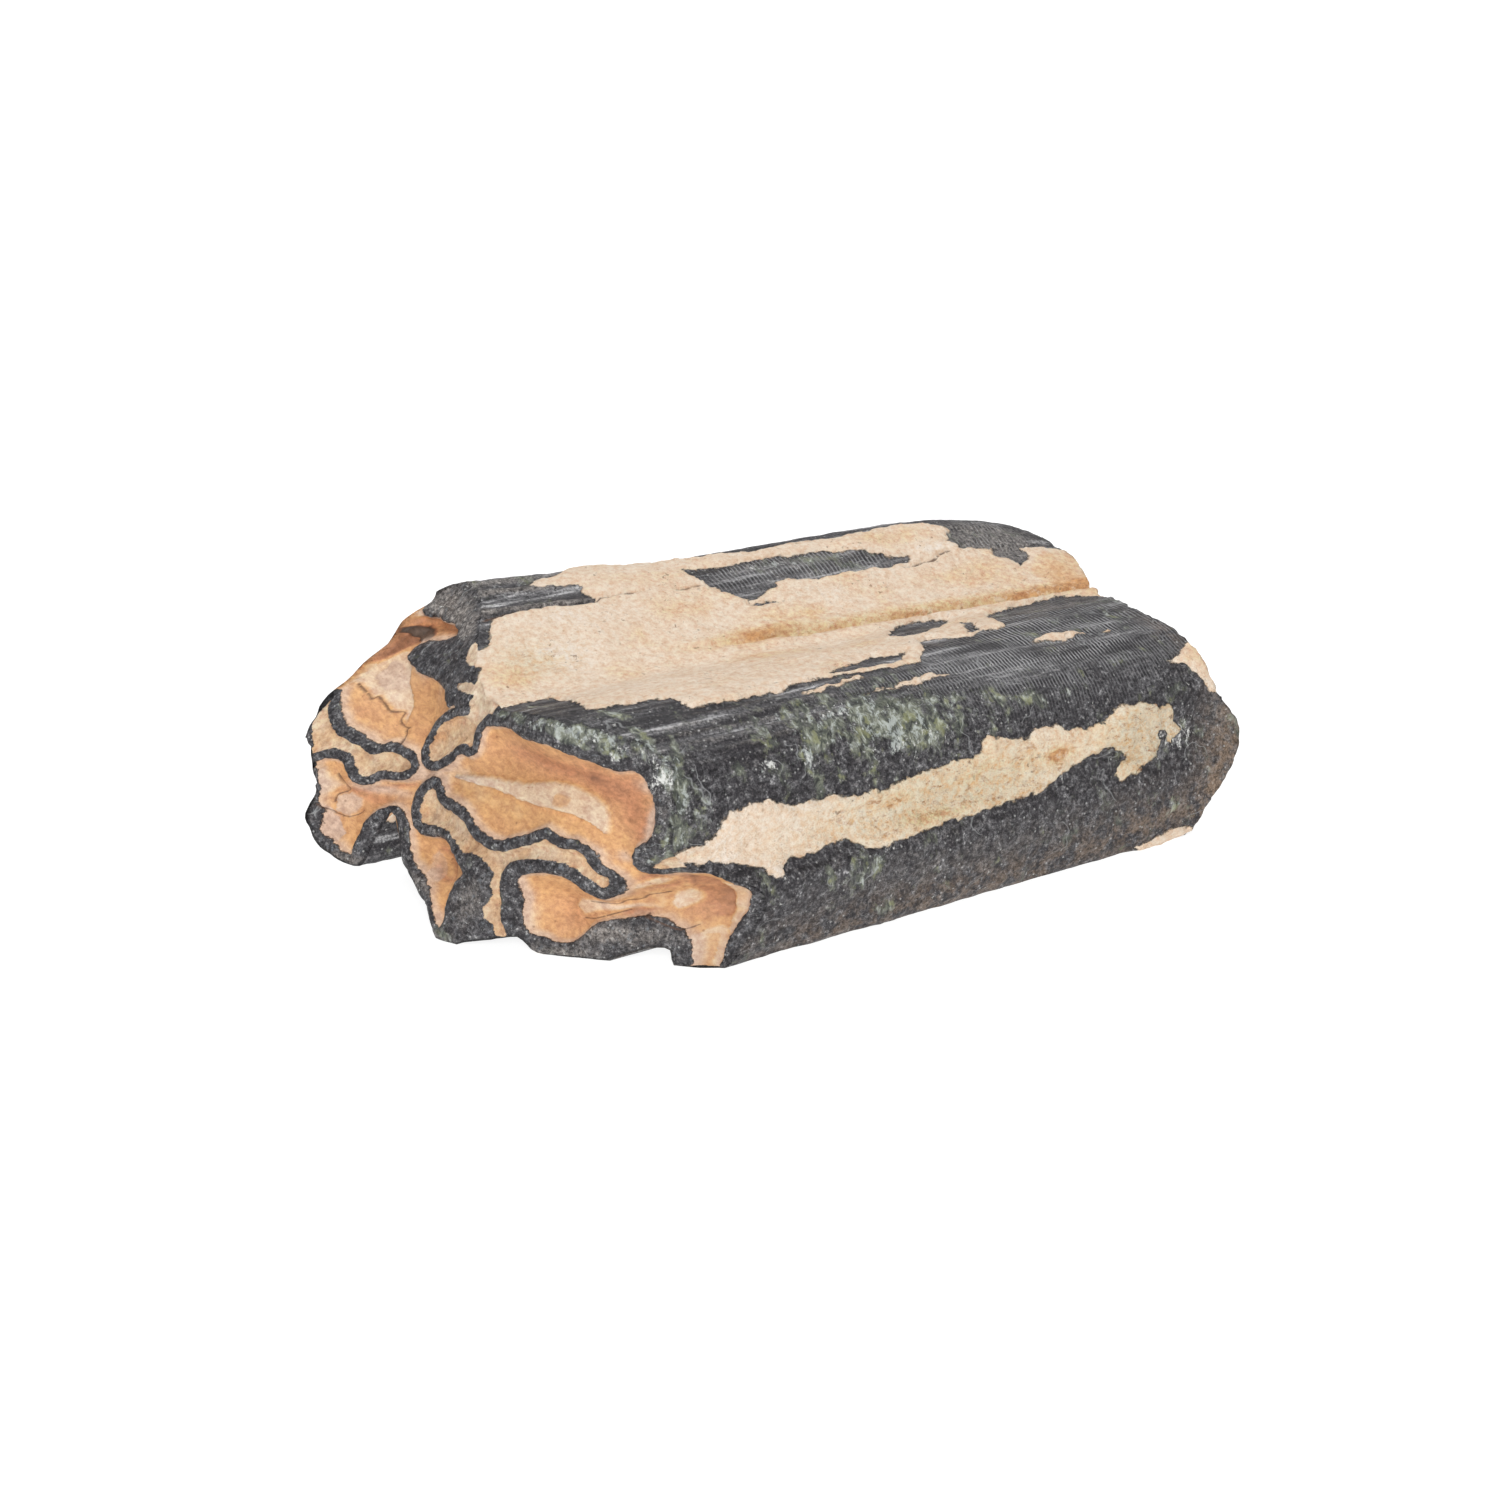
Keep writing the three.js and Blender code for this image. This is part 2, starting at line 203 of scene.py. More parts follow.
FRONT_LOBE_EDGE = [
    (5.9, 12.8), (6.4, 12.5), (6.9, 12.7), (7.5, 13.1), (8.7, 13.2), (10, 13.1), (11.5, 13),
    (12.6, 13.2), (13.5, 13.4), (13.9, 13.9), (12.9, 14.4), (11.5, 14.8), (10.7, 15.3),
]
KNOT_HIND_WALL = [
    (0.6, 5.2), (-0.6, 5.5), (-1.5, 5.3), (-2.2, 4.8), (-2.1, 4.2), (-2.3, 3.4), (-2.2, 2.8),
    (-2.1, 2.4), (-2.3, 2), (-2.8, 1.6), (-3.1, 1), (-3, 0.2), (-1, 0), (0.2, 0.6), (0.2, 1.2),
    (0.5, 2.2), (0.5, 3), (0.4, 3.6), (0, 4.2),
]
FOLD_STUB = [(6.2, 13.3), (5.4, 13.6), (4.1, 14), (4.3, 13.5), (4.4, 13.2), (5.2, 12.8), (5.8, 12.8)]
FRONT_CEMENT_RIM = [(16.3, 10.8), (16, 10.2), (15.5, 9.7), (15, 9.2), (14.5, 8.8), (14.1, 8.5)]
# Bands with their half widths.
ENAMEL_BANDS = [
    (FRONT_FOLD, 0.27), (FRONT_CEMENT_RIM, 0.16), (CHEEK_FOLD, 0.31), (HIND_LOBE, 0.34),
    (HEEL_TOP, 0.32), (HIND_FOLD_TOP, 0.36), (HIND_CUSP, 0.48), (HIND_CUSP_RIM, 0.4), (KNOT_WALL, 0.36),
    (KNOT_RIM, 0.28), (FRONT_CUSP_RIM, 0.18),
]
# Everything the outer enamel encloses: dentine, and the cement in the folds.
FACE_CORE = (
    HIND_LOBE
    + HEEL_TOP[:5]
    + HEEL_EDGE
    + HIND_CUSP_RIM[::-1]
    + [(-3.6, 0.6), (-2.6, -0.6), (-1.2, -0.2)]
    + KNOT_RIM[::-1]
    + FRONT_CUSP_RIM[::-1]
    + [(13.4, 8.0), (14.2, 8.3), (15.3, 9.2), (15.8, 10.4), (18.0, 11.8), (18.0, 16.2)]
    + [(16.1, 15.6), (15.6, 15.3), (14.9, 15.1), (14.0, 15.3), (13.1, 15.4), (11.9, 15.5)]
    + FRONT_LOBE_EDGE[::-1]
    + [(5.3, 13.1), (4.6, 14.1), (4.4, 15.6), (1.2, 15.4), (1.5, 14.0)]
)
CEMENT_FILLS = [
    FRONT_FOLD + [(14.4, 7.8), (16.2, 8.2), (17.4, 9.8), (16.8, 11.4)],
    [(1.2, 15.6), (1.7, 14.0)] + CHEEK_FOLD[::-1] + [(5.7, 12.9), (5.5, 14.2), (5.2, 16.2)],
    HIND_FOLD_TOP + HIND_CUSP[1:] + [(-3.6, 0.3), (-2.8, -1.0), (-1.4, -0.6)] + KNOT_WALL[:0:-1],
]
PALE_STREAK = [
    (4.8, 8.7), (2.4, 9.35), (0.7, 9.8), (-0.9, 10), (-2.1, 10.2), (-3.1, 10.5), (-4.2, 10.85),
    (-5.4, 11), (-6.5, 10.95), (-7.4, 10.7), (-8.2, 10.4), (-8.7, 9.8), (-9, 9.1), (-8.8, 8.7),
    (-8.3, 9), (-7.6, 9.3), (-6.5, 9.45), (-5.3, 9.5), (-4, 9.4), (-2.7, 9.3), (-1, 9.3), (0.6, 9.2),
    (2.6, 8.9),
]
STREAK_SPOT = [
    (-4.8, 10.1), (-4.9, 10.3), (-5.5, 10.4), (-6.1, 10.3), (-6.1, 9.9), (-5.7, 9.7), (-5.1, 9.8),
]
CHIP_FACET = [
    (14.8, 11.9), (14.9, 12.8), (13.9, 12.9), (13, 12.2), (12.5, 11.6), (13.4, 11.5), (14.2, 11.7),
]
HEEL_WAIST = [
    (-5.9, 3.1), (-6.5, 3.8), (-7.5, 3.9), (-8.2, 3.6), (-9.6, 3.9), (-10.1, 3.4), (-9.5, 3.5),
    (-8.6, 3.3), (-7.5, 3.1), (-6.7, 2.6),
]
PALE_CHIP = [
    (14, 13.5), (14.9, 13.2), (15.5, 12.5), (17, 12.2), (17, 11.3), (15.6, 11.6), (14.8, 11.5),
    (13.7, 11.1), (13.4, 11.2), (12.6, 10.9), (11.8, 10.7), (11.2, 10.7), (10.8, 10.4), (10.3, 10.2),
    (10.8, 10.9), (11.6, 11.6), (12.3, 12.2), (12.8, 13),
]
RED_SLOPE = [
    (18, 14), (18, 12.4), (15.8, 12.5), (15.4, 12.8), (15, 13.2), (14.6, 13.6), (14.2, 13.8),
    (14.9, 14), (16, 14.1),
]
ORANGE_LIP = [
    (18, 15.2), (16.4, 15), (15, 15), (13.6, 15.2), (12, 15.4), (11.1, 15.4), (10.8, 15.2),
    (12.1, 14.7), (13.6, 14.4), (15, 14.4), (16.2, 14.2), (18, 14.2),
]
PINK_EDGE = [
    (17, 15.9), (15.9, 15.4), (14.9, 15.2), (14, 15.3), (13, 15.5), (11.8, 15.5), (12.6, 15.2),
    (14, 14.95), (15.2, 14.9), (16.6, 15),
]
DARK_FLAKE = [
    (16.3, 14.1), (15.7, 14.4), (15, 14.45), (14.4, 14.3), (13.1, 14.4), (13.9, 14), (14.6, 13.8),
    (15.5, 13.9),
]
HEEL_BROWN = [
    (-11.9, 6.4), (-12.4, 6.3), (-12.7, 5.8), (-12.65, 4.9), (-12.55, 3.7), (-12.5, 3), (-12, 2.95),
    (-11.35, 4.05), (-11.45, 5.3),
]
HEEL_RIM = [
    (-12.85, 5.6), (-13.4, 5.5), (-13.6, 5.1), (-13.6, 4.4), (-13.3, 3.5), (-13.1, 2.6), (-12.9, 2),
    (-12.6, 2.6), (-12.65, 3.8), (-12.75, 4.8),
]
HEEL_WHITE = [
    (-10.25, 3.75), (-10.35, 4.25), (-10.65, 4.65), (-11.25, 4.95), (-11.35, 4.55), (-11.35, 4.15),
    (-11.05, 3.75), (-10.75, 3.55), (-10.55, 3.45),
]
HEEL_TAN = [(-9.7, 4.6), (-9.9, 4.7), (-10.1, 4.4), (-10.1, 3.9), (-10.1, 3.4), (-9.7, 3.6), (-9.5, 4)]
HEEL_ORANGE = [
    (-10.55, 3.35), (-11.05, 3.65), (-11.3, 3.95), (-11.9, 3.05), (-11.55, 2.7), (-11.15, 2.6),
    (-10.75, 2.9),
]
HEEL_GAP = [
    (-10, 6.2), (-10.7, 6.5), (-11.4, 6.5), (-12, 6.4), (-11.9, 5.7), (-11.6, 5.5), (-10.9, 6.05),
    (-10.4, 5.9),
]
HEEL_GROOVE = [(-8.6, 3.3), (-9.2, 3.6), (-9.6, 3.5), (-9.9, 3.1), (-9.8, 2.9), (-9.2, 3), (-8.6, 2.9)]
HEEL_RIDGE = [
    (-9.6, 5.2), (-10, 5.6), (-10.4, 5.8), (-10.9, 6), (-11.4, 6.1), (-11, 5.7), (-10.5, 5.3),
    (-10, 5.2), (-9.6, 4.9),
]
HEEL_COLUMN = [
    (-11.4, 1.9), (-11.8, 2.2), (-12.3, 2.5), (-12.7, 2.4), (-12.9, 1.5), (-13, -0.8), (-11.8, -0.8),
    (-11.6, 1.2),
]
HEEL_FACET = [(-11.9, 6.3), (-11.5, 5.7), (-11.1, 5.2), (-11.35, 5.1), (-11.45, 5.5)]
COLUMN_TAN = [(-12, 2), (-12.4, 2), (-12.5, 1), (-12.4, -0.8), (-12.1, -0.8), (-12.1, 1)]
CUSP_PALE = [(13, 7.2), (12.6, 7.6), (11.5, 6.6), (11.8, 6.1), (12.3, 6)]
CUSP_PINK = [(11.7, 5.9), (11, 6.1), (10.4, 5.8), (10.4, 5.3), (11, 4.4), (11.6, 4.9)]
CUSP_PURPLE = [(12.6, 5.8), (12, 5.2), (11.3, 4.3), (10.8, 3.5), (11.2, 2.4), (12, 3.3), (12.4, 4.4)]
KNOT_OVAL = [(4.9, 3.5), (4.6, 3.8), (3.7, 3.45), (2.8, 2.95), (2.9, 2.45), (4.1, 2.6)]
# Cement that laps over the enamel onto the chewing face.
FACE_SPILLS = [
    [(6.9, 16.4), (7.9, 15.6), (7.4, 15), (6.2, 15), (5.2, 15.3), (5.2, 16.2)],
    [(6.2, 13.6), (6.4, 13.9), (5.5, 14.3), (4.6, 14.4), (3.6, 14.4), (4.1, 14), (5.4, 13.7)],
    [(-11.15, 6.95), (-11.6, 7.35), (-12, 7.6), (-12.4, 7.95), (-12.9, 8.2), (-13.6, 8.5), (-13.6, 7.4),
     (-12.8, 7.3), (-12, 7.05), (-11.5, 6.9)],
]
# Patches of the face: outline, change of tone, of blush, of depth, and softness of the edge.
FACE_PATCHES = [
    (PALE_STREAK, 0.95, 0.5, -0.4, 0.08), (STREAK_SPOT, -0.75, -0.1, 0, 0.1),
    (PALE_CHIP, 0.9, 0.4, 0.26, 0.08), (CHIP_FACET, -0.2, 0.55, -0.16, 0.04),
    (RED_SLOPE, -0.85, 0, 0.22, 0.2), (ORANGE_LIP, -0.35, 0, 0.28, 0.25),
    (PINK_EDGE, 0.75, 0.55, -0.15, 0.12), (DARK_FLAKE, -2.6, 0.1, -0.26, 0.05),
    (HEEL_BROWN, -0.62, 0, 0.16, 0.06), (HEEL_RIM, 0.75, 0.3, -0.1, 0.06),
    (HEEL_TAN, 0.35, 0.2, -0.12, 0.03), (HEEL_WHITE, 0.95, 0.2, -0.16, 0.1),
    (HEEL_ORANGE, -0.45, 0, 0.12, 0.04), (HEEL_GAP, -0.1, 0, 0.1, 0.04),
    (HEEL_GROOVE, -0.7, 0, 0.2, 0.06), (HEEL_RIDGE, 0.8, 0.2, -0.2, 0.04),
    (HEEL_COLUMN, 0.7, 0.2, -0.12, 0.06), (COLUMN_TAN, -0.6, 0, 0.1, 0.05),
    (HEEL_FACET, 0.45, 0.2, -0.12, 0.03), (HEEL_WAIST, 0.8, 0.5, -0.1, 0.16),
    (CUSP_PALE, 0.65, 0.2, -0.12, 0.06), (CUSP_PINK, 0.25, 0.9, -0.18, 0.06),
    (CUSP_PURPLE, -0.45, 0.9, 0.16, 0.08), (KNOT_OVAL, -0.1, 0.5, 0.08, 0.06),
]
FACE_CRACKS = [
    [(15.3, 11.5), (14.3, 11.25), (13.6, 11), (13.4, 11.15), (12.6, 10.85), (11.9, 10.6), (11.2, 10.65),
     (10.9, 10.3), (10.3, 10.1), (9.8, 10.15)],
    [(9.9, 10), (9.5, 9.8), (9.1, 9.5)],
    [(12, 7.2), (11.5, 6.6), (11.3, 6.2), (11.7, 5.9), (11.8, 5.4)],
    [(12.4, 5.5), (11.9, 4.95), (11.3, 4.5), (10.8, 4.6), (10.4, 5)],
    [(-7, 3.6), (-7.8, 3.7), (-8.4, 3.7), (-8.8, 4), (-9.3, 4.1), (-9.6, 4.4), (-10, 4.5), (-10.3, 4.6)],
    [(-6.6, 2.4), (-7.2, 2.5), (-8.1, 2.95), (-8.8, 3.3)],
    [(-9.6, 3.15), (-10.1, 2.8), (-10.6, 2.5), (-11.1, 2.25), (-11.5, 2.5)],
]
FACE_CREASES = [
    [(11.1, 6.3), (9.5, 6.6), (8.2, 7.1), (7.4, 7.35)],
    [(4.4, 3.95), (3.6, 3.85), (2.7, 3.6), (1.8, 3.25), (1.8, 2.9), (3, 2.7), (4, 3)],
    [(-9.3, 4.5), (-9.8, 4.9), (-10.3, 5.1), (-10.7, 5.2), (-11.2, 5.6)],
    [(-11.95, 6.4), (-11.5, 5.6), (-11.4, 4.6), (-11.35, 4.1), (-11.9, 3.05)],
    [(-9.7, 4.5), (-9.6, 3.9), (-9.8, 3.45)],
    [(-9.7, 5.6), (-10.2, 5.95), (-10.8, 6.2), (-11.5, 6.3)],
]
# Tone of the dentine, from redder and darker (-1) to cream (+1): y, z, reaches, amount.
DENTINE_TONES = [
    (-1.5, 11.5, 3.4, 0.8, -0.3), (-5, 11.9, 3, 0.7, -0.34), (-8.2, 11.4, 1.5, 0.9, -0.6),
    (-6.9, 11.7, 0.5, 0.3, -0.5), (-9.9, 10.2, 0.9, 1.4, -0.45), (-11, 9.4, 0.7, 1.5, -0.4),
    (-9.9, 8.6, 0.8, 0.9, 0.15), (-1, 8.5, 5.5, 0.6, 0.25), (6.2, 8.2, 1.2, 0.7, 0.25),
    (3.4, 9, 2, 0.5, 0.45), (12.6, 9.9, 1.6, 0.5, 0.1), (13.4, 10.4, 0.9, 0.5, -0.2),
    (10.4, 3.6, 1.2, 0.7, 0.1), (9, 5.9, 2.2, 0.35, -0.35), (-4.2, 1.8, 0.35, 1.3, 0.6),
    (-4.9, 1.1, 0.6, 0.35, 0.7), (-6.3, 2.9, 1.2, 1.4, -0.3), (-12.3, 1.2, 0.7, 1.6, 0.15),
    (-10.4, 3.9, 1.6, 1.4, 0.2),
]
# Blush is a dull greyish pink in the dentine.
DENTINE_BLUSH = [
    (-11.5, 10.3, 0.55, 1.4, 1.5), (-10.3, 11.9, 0.9, 0.5, 0.9), (-9.6, 7.4, 0.5, 0.5, 0.8),
    (5.8, 8.2, 1.4, 0.5, 0.8), (4, 9.2, 1.6, 0.5, 0.6), (7.4, 7.9, 1, 0.4, 0.7),
    (9.3, 6.6, 2.2, 0.35, 0.9), (9, 12.4, 0.4, 1.2, 0.3), (12.2, 12.6, 2.2, 1, 0.3),
    (11.6, 3.3, 0.5, 0.5, 0.4), (0.6, 1.7, 0.5, 0.6, 0.6), (-3.7, 2.6, 0.35, 1.6, 0.7),
    (-8.1, 3.65, 0.9, 0.3, 0.4),
]
# Ash is grey, rough enamel; below zero it is smooth and blacker.
FACE_ASH = [
    (14, 16.2, 3.6, 0.8, 1), (10, 15.9, 1.8, 0.5, 0.8), (9.6, 14.2, 2.6, 0.9, -0.9),
    (12.9, 4.6, 0.5, 2.6, 0.9), (10.6, 2, 1.6, 0.6, 0.8), (-8.6, 1.9, 2.4, 0.8, 0.8),
    (-6.3, 0.3, 1.8, 0.5, 0.8), (-1.2, 2.8, 0.9, 1.8, 0.6), (3.6, 5.3, 2, 0.3, 0.3),
    (-12.4, 11.4, 1.4, 2.2, 0.3), (5, 2.2, 3, 0.4, 0.7), (0.5, 0.3, 1.6, 0.5, 0.5),
]
# White fuzz on the bevelled edge of the hind lobe.
FACE_FROST = [(-9.4, 13.8, 1.3, 0.6, 0.25), (-11.3, 12.8, 0.6, 0.7, 0.7)]
# Ash on the wall: x, girth, reaches and amount.
WALL_ASH = [
    (33, 37.5, 8, 1.6, 0.35), (48.5, 37.5, 4.5, 3.4, 1), (42, 22.5, 7, 2.2, 0.3),
    (30, 3.4, 16, 2.4, 0.3), (8.6, 42, 2.2, 2.2, 1), (8.8, 39.2, 1.8, 2, 0.7), (13, 38.9, 6, 0.3, 0.6),
    (13, 40.6, 6, 0.5, 0.5), (14, 36.9, 4, 0.25, 0.6), (13, 38.1, 5, 0.3, -0.6),
    (16, 16.2, 9, 2.6, 0.25), (51, 24, 2, 5, 0.4), (52, 7, 1.6, 5, 0.5),
]
# Frost is white crust, the same way.
FROST = [
    (8.7, 14.2, 0.45, 1, 1), (19.5, 12.9, 0.7, 1.6, 0.5), (16.4, 12.9, 0.9, 0.5, 0.6),
    (23, 15.6, 2.2, 0.6, 0.5), (27.5, 12.2, 3.4, 0.9, 0.45), (37.5, 7, 1.2, 0.35, 0.6),
    (47.8, 7.4, 1.4, 1.4, 0.45), (31, 37.9, 4, 0.4, 0.35), (8.4, 20.4, 1.5, 0.35, 0.5),
    (24.4, 5.4, 1, 0.5, 0.4), (49, 7.8, 0.8, 0.9, 0.3),
]
# Soft crumbly cement, on which the colour also lays painted light.
CRUMBS = [(30, 8, 12, 3, 0.6), (46.5, 8.2, 3.5, 2.6, 1.2), (10, 31.5, 3, 2, 0.35)]

# ---------------------------------------------------------------- the wall, (x, girth)
# Girth runs round the chewing outline from the hind lower edge, up the hind side and over
# the cheek side. The strip of cement on the hind side ends raggedly.
STRIP_END, STRIP_END_REACH = (47.5, 8.5), 3.0
RIDGE_PITCH = 0.82  # of the fine ridges along the enamel
# Outlines of cement left on the enamel.
HIND_STRIP = [
    (6, 8.3), (6, 8.75), (8.6, 8.8), (9.6, 9), (11.2, 9.1), (11.8, 9.3), (12.3, 9.9), (12.7, 10.3),
    (13, 10.8), (14.5, 10.8), (16.2, 10.85), (17, 10.5), (17.8, 10.1), (19.5, 10.1), (21, 10),
    (22, 9.7), (23.5, 9.55), (24.7, 9.45), (25.5, 9.7), (27, 9.8), (28.5, 10), (31.5, 10.05),
    (32.2, 10.3), (32.5, 11), (33, 11.2), (33.6, 10.8), (35.3, 10.6), (36.2, 10.25), (36.6, 10.7),
    (38.5, 10.65), (39.2, 10.1), (41.2, 9.85), (42.2, 10), (42.8, 10.5), (43.8, 10.8), (45, 10.6),
    (46.2, 10.4), (47.2, 10), (48, 9.4), (48.6, 8.2), (47.8, 7.5), (46.9, 7.8), (46.3, 7), (45.5, 6.3),
    (44.5, 6), (43.3, 5.9), (42.7, 6.3), (43, 6.8), (43.8, 7), (44.2, 7.35), (43, 7.65), (42.3, 8),
    (41.5, 7.9), (40.5, 7.65), (39.3, 7.5), (38.6, 7.2), (38, 6.9), (36.5, 6.5), (34.5, 6.4), (32, 6.3),
    (30, 6.25), (28, 6.1), (25.5, 5.95), (23.8, 5.95), (22.8, 6.1), (22, 6.7), (21, 6.9), (19.5, 6.7),
    (17.3, 6.6), (16.8, 6.3), (16.4, 5.8), (15.8, 5.75), (15.4, 6.2), (15.1, 6.6), (14.2, 6.9),
    (13, 7.3), (11.5, 7.7), (10.5, 7.9), (9.7, 8.15),
]
CHEEK_CEMENT = [
    (4, 27.5), (6, 27.3), (7.8, 27.4), (8.8, 27.2), (8.9, 26), (8.6, 24), (8.3, 22.5), (8.2, 21.5),
    (9, 21.1), (10.2, 21.2), (11.4, 21.1), (12.3, 21.2), (13, 20.8), (13.8, 20.9), (13.9, 19.9),
    (13.8, 18.95), (15.5, 18.75), (17, 18.65), (19, 18.8), (20.7, 18.85), (21.8, 19.2), (24.5, 19.2),
    (26, 19), (27, 18.7), (29, 18.6), (31, 18.7), (32, 18.9), (32.3, 19.6), (32.8, 20.3), (33.4, 21),
    (34, 22.3), (34.8, 22.8), (35.6, 22.3), (36.3, 21.4), (37.2, 21.1), (37.9, 21.3), (38.5, 22),
    (39.2, 21.8), (40.6, 21.8), (41, 22.4), (41, 23.6), (41.6, 25), (42, 26.2), (42.6, 27),
    (43.8, 27.8), (46, 28), (48.5, 28.1), (50, 28.2), (51.2, 27.2), (56, 24.5), (56, 36), (50.8, 36.3),
    (50.8, 35), (49.9, 34.3), (49.3, 33.8), (49.1, 35), (48.2, 35.5), (48.3, 36.3), (47.5, 36.4),
    (45.9, 36.7), (46, 37), (45.4, 37.9), (46.3, 38.6), (46, 39.5), (45, 40.2), (43, 40.6), (40, 40.2),
    (35, 40.2), (30, 40.2), (27, 40.9), (24, 41.1), (22.5, 41.8), (19.5, 43.2), (17, 43), (18.2, 42.3),
    (17.8, 41.5), (17.2, 40.6), (15, 40), (13.9, 39.2), (14.5, 38.85), (17.6, 38.7), (17, 37.9),
    (17.5, 36.9), (17.2, 36.2), (15, 36.6), (12, 36.7), (9.7, 36.2), (9.1, 35.4), (8.5, 34.5),
    (8, 33.8), (7.4, 33.4), (5.6, 33.2), (5.4, 32.3), (6.2, 31.9), (5.4, 31), (4.5, 30.6),
]
# Bare enamel inside that cement.
DARK_ISLANDS = [
    [(25.3, 38.9), (28, 38.7), (33, 38.6), (35.5, 38.5), (37, 38.2), (38.3, 37.8), (39.9, 36.9),
     (41.8, 36.6), (41.5, 35.9), (40.5, 36), (39.8, 35.7), (36, 35.8), (34, 35.7), (32.3, 35.9),
     (31, 36.1), (30.6, 35.5), (29.5, 35.2), (28.4, 34.5), (27.9, 34.5), (26.8, 35.6), (25.8, 36.6),
     (25.9, 37.3), (25.4, 37.9)],
    [(33.4, 25), (33.8, 24.2), (34.6, 23.9), (35.5, 24.1), (36.3, 25), (37.4, 25.8), (38.6, 26.3),
     (39.6, 27.3), (40, 28), (39, 28.2), (37.5, 28.3), (36, 28.1), (35, 27.4), (34.2, 26.5)],
    [(38, 22), (38.6, 22.4), (39.3, 24.2), (40, 26), (39.5, 26), (38.6, 24)],
    [(25, 19.6), (26.5, 19.4), (28.2, 19.3), (29.5, 19.3), (30.6, 19.5), (31.2, 20.2), (31.8, 20.7),
     (30.8, 20.3), (30.2, 20.6), (29.2, 21), (28.3, 20.6), (26, 20.1)],
    [(27.6, 34.2), (28.5, 33.9), (29.8, 33.75), (29.8, 33.6), (28.4, 33.65), (27.6, 33.9)],
]
SMALL_CEMENT = [
    [(21.4, 17.9), (22.5, 18.2), (24.5, 18.2), (26.6, 18.45), (26.8, 18.1), (22.5, 17.7)],
    [(25.9, 16.6), (28, 16.75), (29.3, 16.9), (30, 17.1), (31.2, 17.2), (32, 16.85), (33.4, 16.8),
     (31.5, 16.6), (28.5, 16.5)],
    [(40.1, 18.3), (41, 18.7), (42.2, 19), (43.2, 18.8), (44.5, 18.5), (45, 18.2), (44, 18), (42, 18),
     (40.8, 18.1)],
    [(45.6, 17.85), (46.4, 17.95), (46.8, 17.6), (46.1, 17.55)],
    [(-2, 51.4), (12, 52.2), (24, 52), (30, 51), (22, 50.2), (8, 49.6), (-2, 49.8)],
    [(3, 80.8), (20, 81.6), (34, 81.2), (41, 80.4), (30, 79.4), (12, 79.6), (3, 79.8)],
    [(-3, 66.4), (9, 66), (18, 65.2), (9, 64.4), (-3, 63.6)],
    [(44.6, 0.5), (45.6, -0.4), (47.2, -0.4), (48.6, 0), (49.6, 0.7), (48, 1.1), (46.2, 0.9)],
    [(22, 58.6), (36, 59.4), (47, 58.8), (40, 57.2), (28, 57)],
]
# Places beside the break where the enamel has flaked off, down to tan.
TAN_BREAKS = [
    [(49.4, 33.4), (50.3, 34.4), (51.5, 35.3), (53, 35.7), (58, 35.6), (58, 26), (52, 26), (51, 27.3),
     (50.2, 28.3), (49.7, 30), (49.3, 31.5)],
    [(48.8, 13.2), (49.8, 13.6), (50.8, 14.3), (51.6, 14.6), (58, 13), (58, 9.9), (51.2, 10),
     (50.7, 10.9), (50.3, 11.8), (49.6, 12.9)],
]
# Where the front lobe's enamel has broken away from the chewing edge.
FRONT_CHIP = [
    (-3, 42.8), (9.6, 42.8), (9.9, 43.4), (9.1, 44), (7.8, 45), (6.3, 46), (4.7, 47), (3.2, 47.8),
    (-3, 48.6),
]
# Chips in the chewing edge: girth, reach, and shift along X.
RIM_CHIPS = [
    (42.6, 0.5, -0.35), (43.6, 0.3, 0.25), (44.5, 0.6, -0.45), (45.9, 0.5, 0.35), (47, 0.4, -0.15),
    (48.7, 0.8, -0.55), (50.8, 0.5, 0.2), (54.3, 0.6, 0.25), (56, 0.8, -0.2),
]
WALL_CRACKS = [
    [(8.9, 36.25), (12, 36.6), (15, 36.65), (17, 36.4), (18, 36.8), (21, 36.8)],
    [(23.4, 36.6), (25.5, 36.7)],
    [(40.5, 35.3), (41.5, 35.35), (42.5, 35.7), (43, 35.6), (44.2, 36.2), (45, 36.4)],
    [(26.5, 30.1), (27.6, 29.7), (28.6, 29.35), (29.4, 29.3)],
]
# Spots on the wall: x, girth, reach in x, reach in girth, amount.
GREEN_BLOOM = [
    (24, 14.8, 4.5, 2.3, 0.9), (28.5, 13.3, 4.5, 2.4, 1), (20, 12.5, 1.6, 2.2, 0.7),
    (19.5, 17, 2.5, 0.8, 0.5), (9.7, 14.2, 1.3, 4, 1.4), (10.5, 10, 1.5, 0.9, 0.6),
    (35.6, 13.2, 1.8, 0.8, 0.8), (34.7, 15.4, 0.3, 1, 0.6), (16.6, 12.6, 1, 0.5, 0.7),
    (21.5, 5, 3.5, 0.9, 0.6), (23.5, 3.5, 1, 1.6, 0.35), (31.5, 1.3, 1.2, 0.6, 0.4),
    (41.8, 4.6, 1.6, 0.9, 0.15), (47, 7, 1.8, 1.1, 0.05), (8.5, 20.6, 1.5, 0.7, 0.6),
    (34, 37.8, 4.5, 0.5, 0.5), (21, 47.5, 6, 2.5, 0.7), (38, 55, 5, 2, 0.7), (14, 72, 4, 2, 0.6),
    (36, 84, 6, 2, 0.6),
]
GROWTH_LINES = [
    (42, 17.3, 9, 3.9, 0.95), (44, 24, 8, 4.5, 0.9), (33.5, 37.3, 9, 2.4, 0.6), (30, 17.5, 6, 1.5, 0.4),
    (48, 38.8, 4, 3, 0.5), (30, 48, 12, 5, 0.6), (30, 72, 14, 8, 0.4),
]
BROWN_FILM = [
    (30, 0.4, 16, 2.2, 0.9), (46, 2.5, 6, 2, 0.7), (52.5, 6.5, 2, 3.5, 1.2), (51, 3, 1.6, 2.6, 1),
    (50.5, 17, 1.2, 3, 0.5), (30, 86, 30, 4, 0.8), (30, 72, 30, 5, 0.6),
]
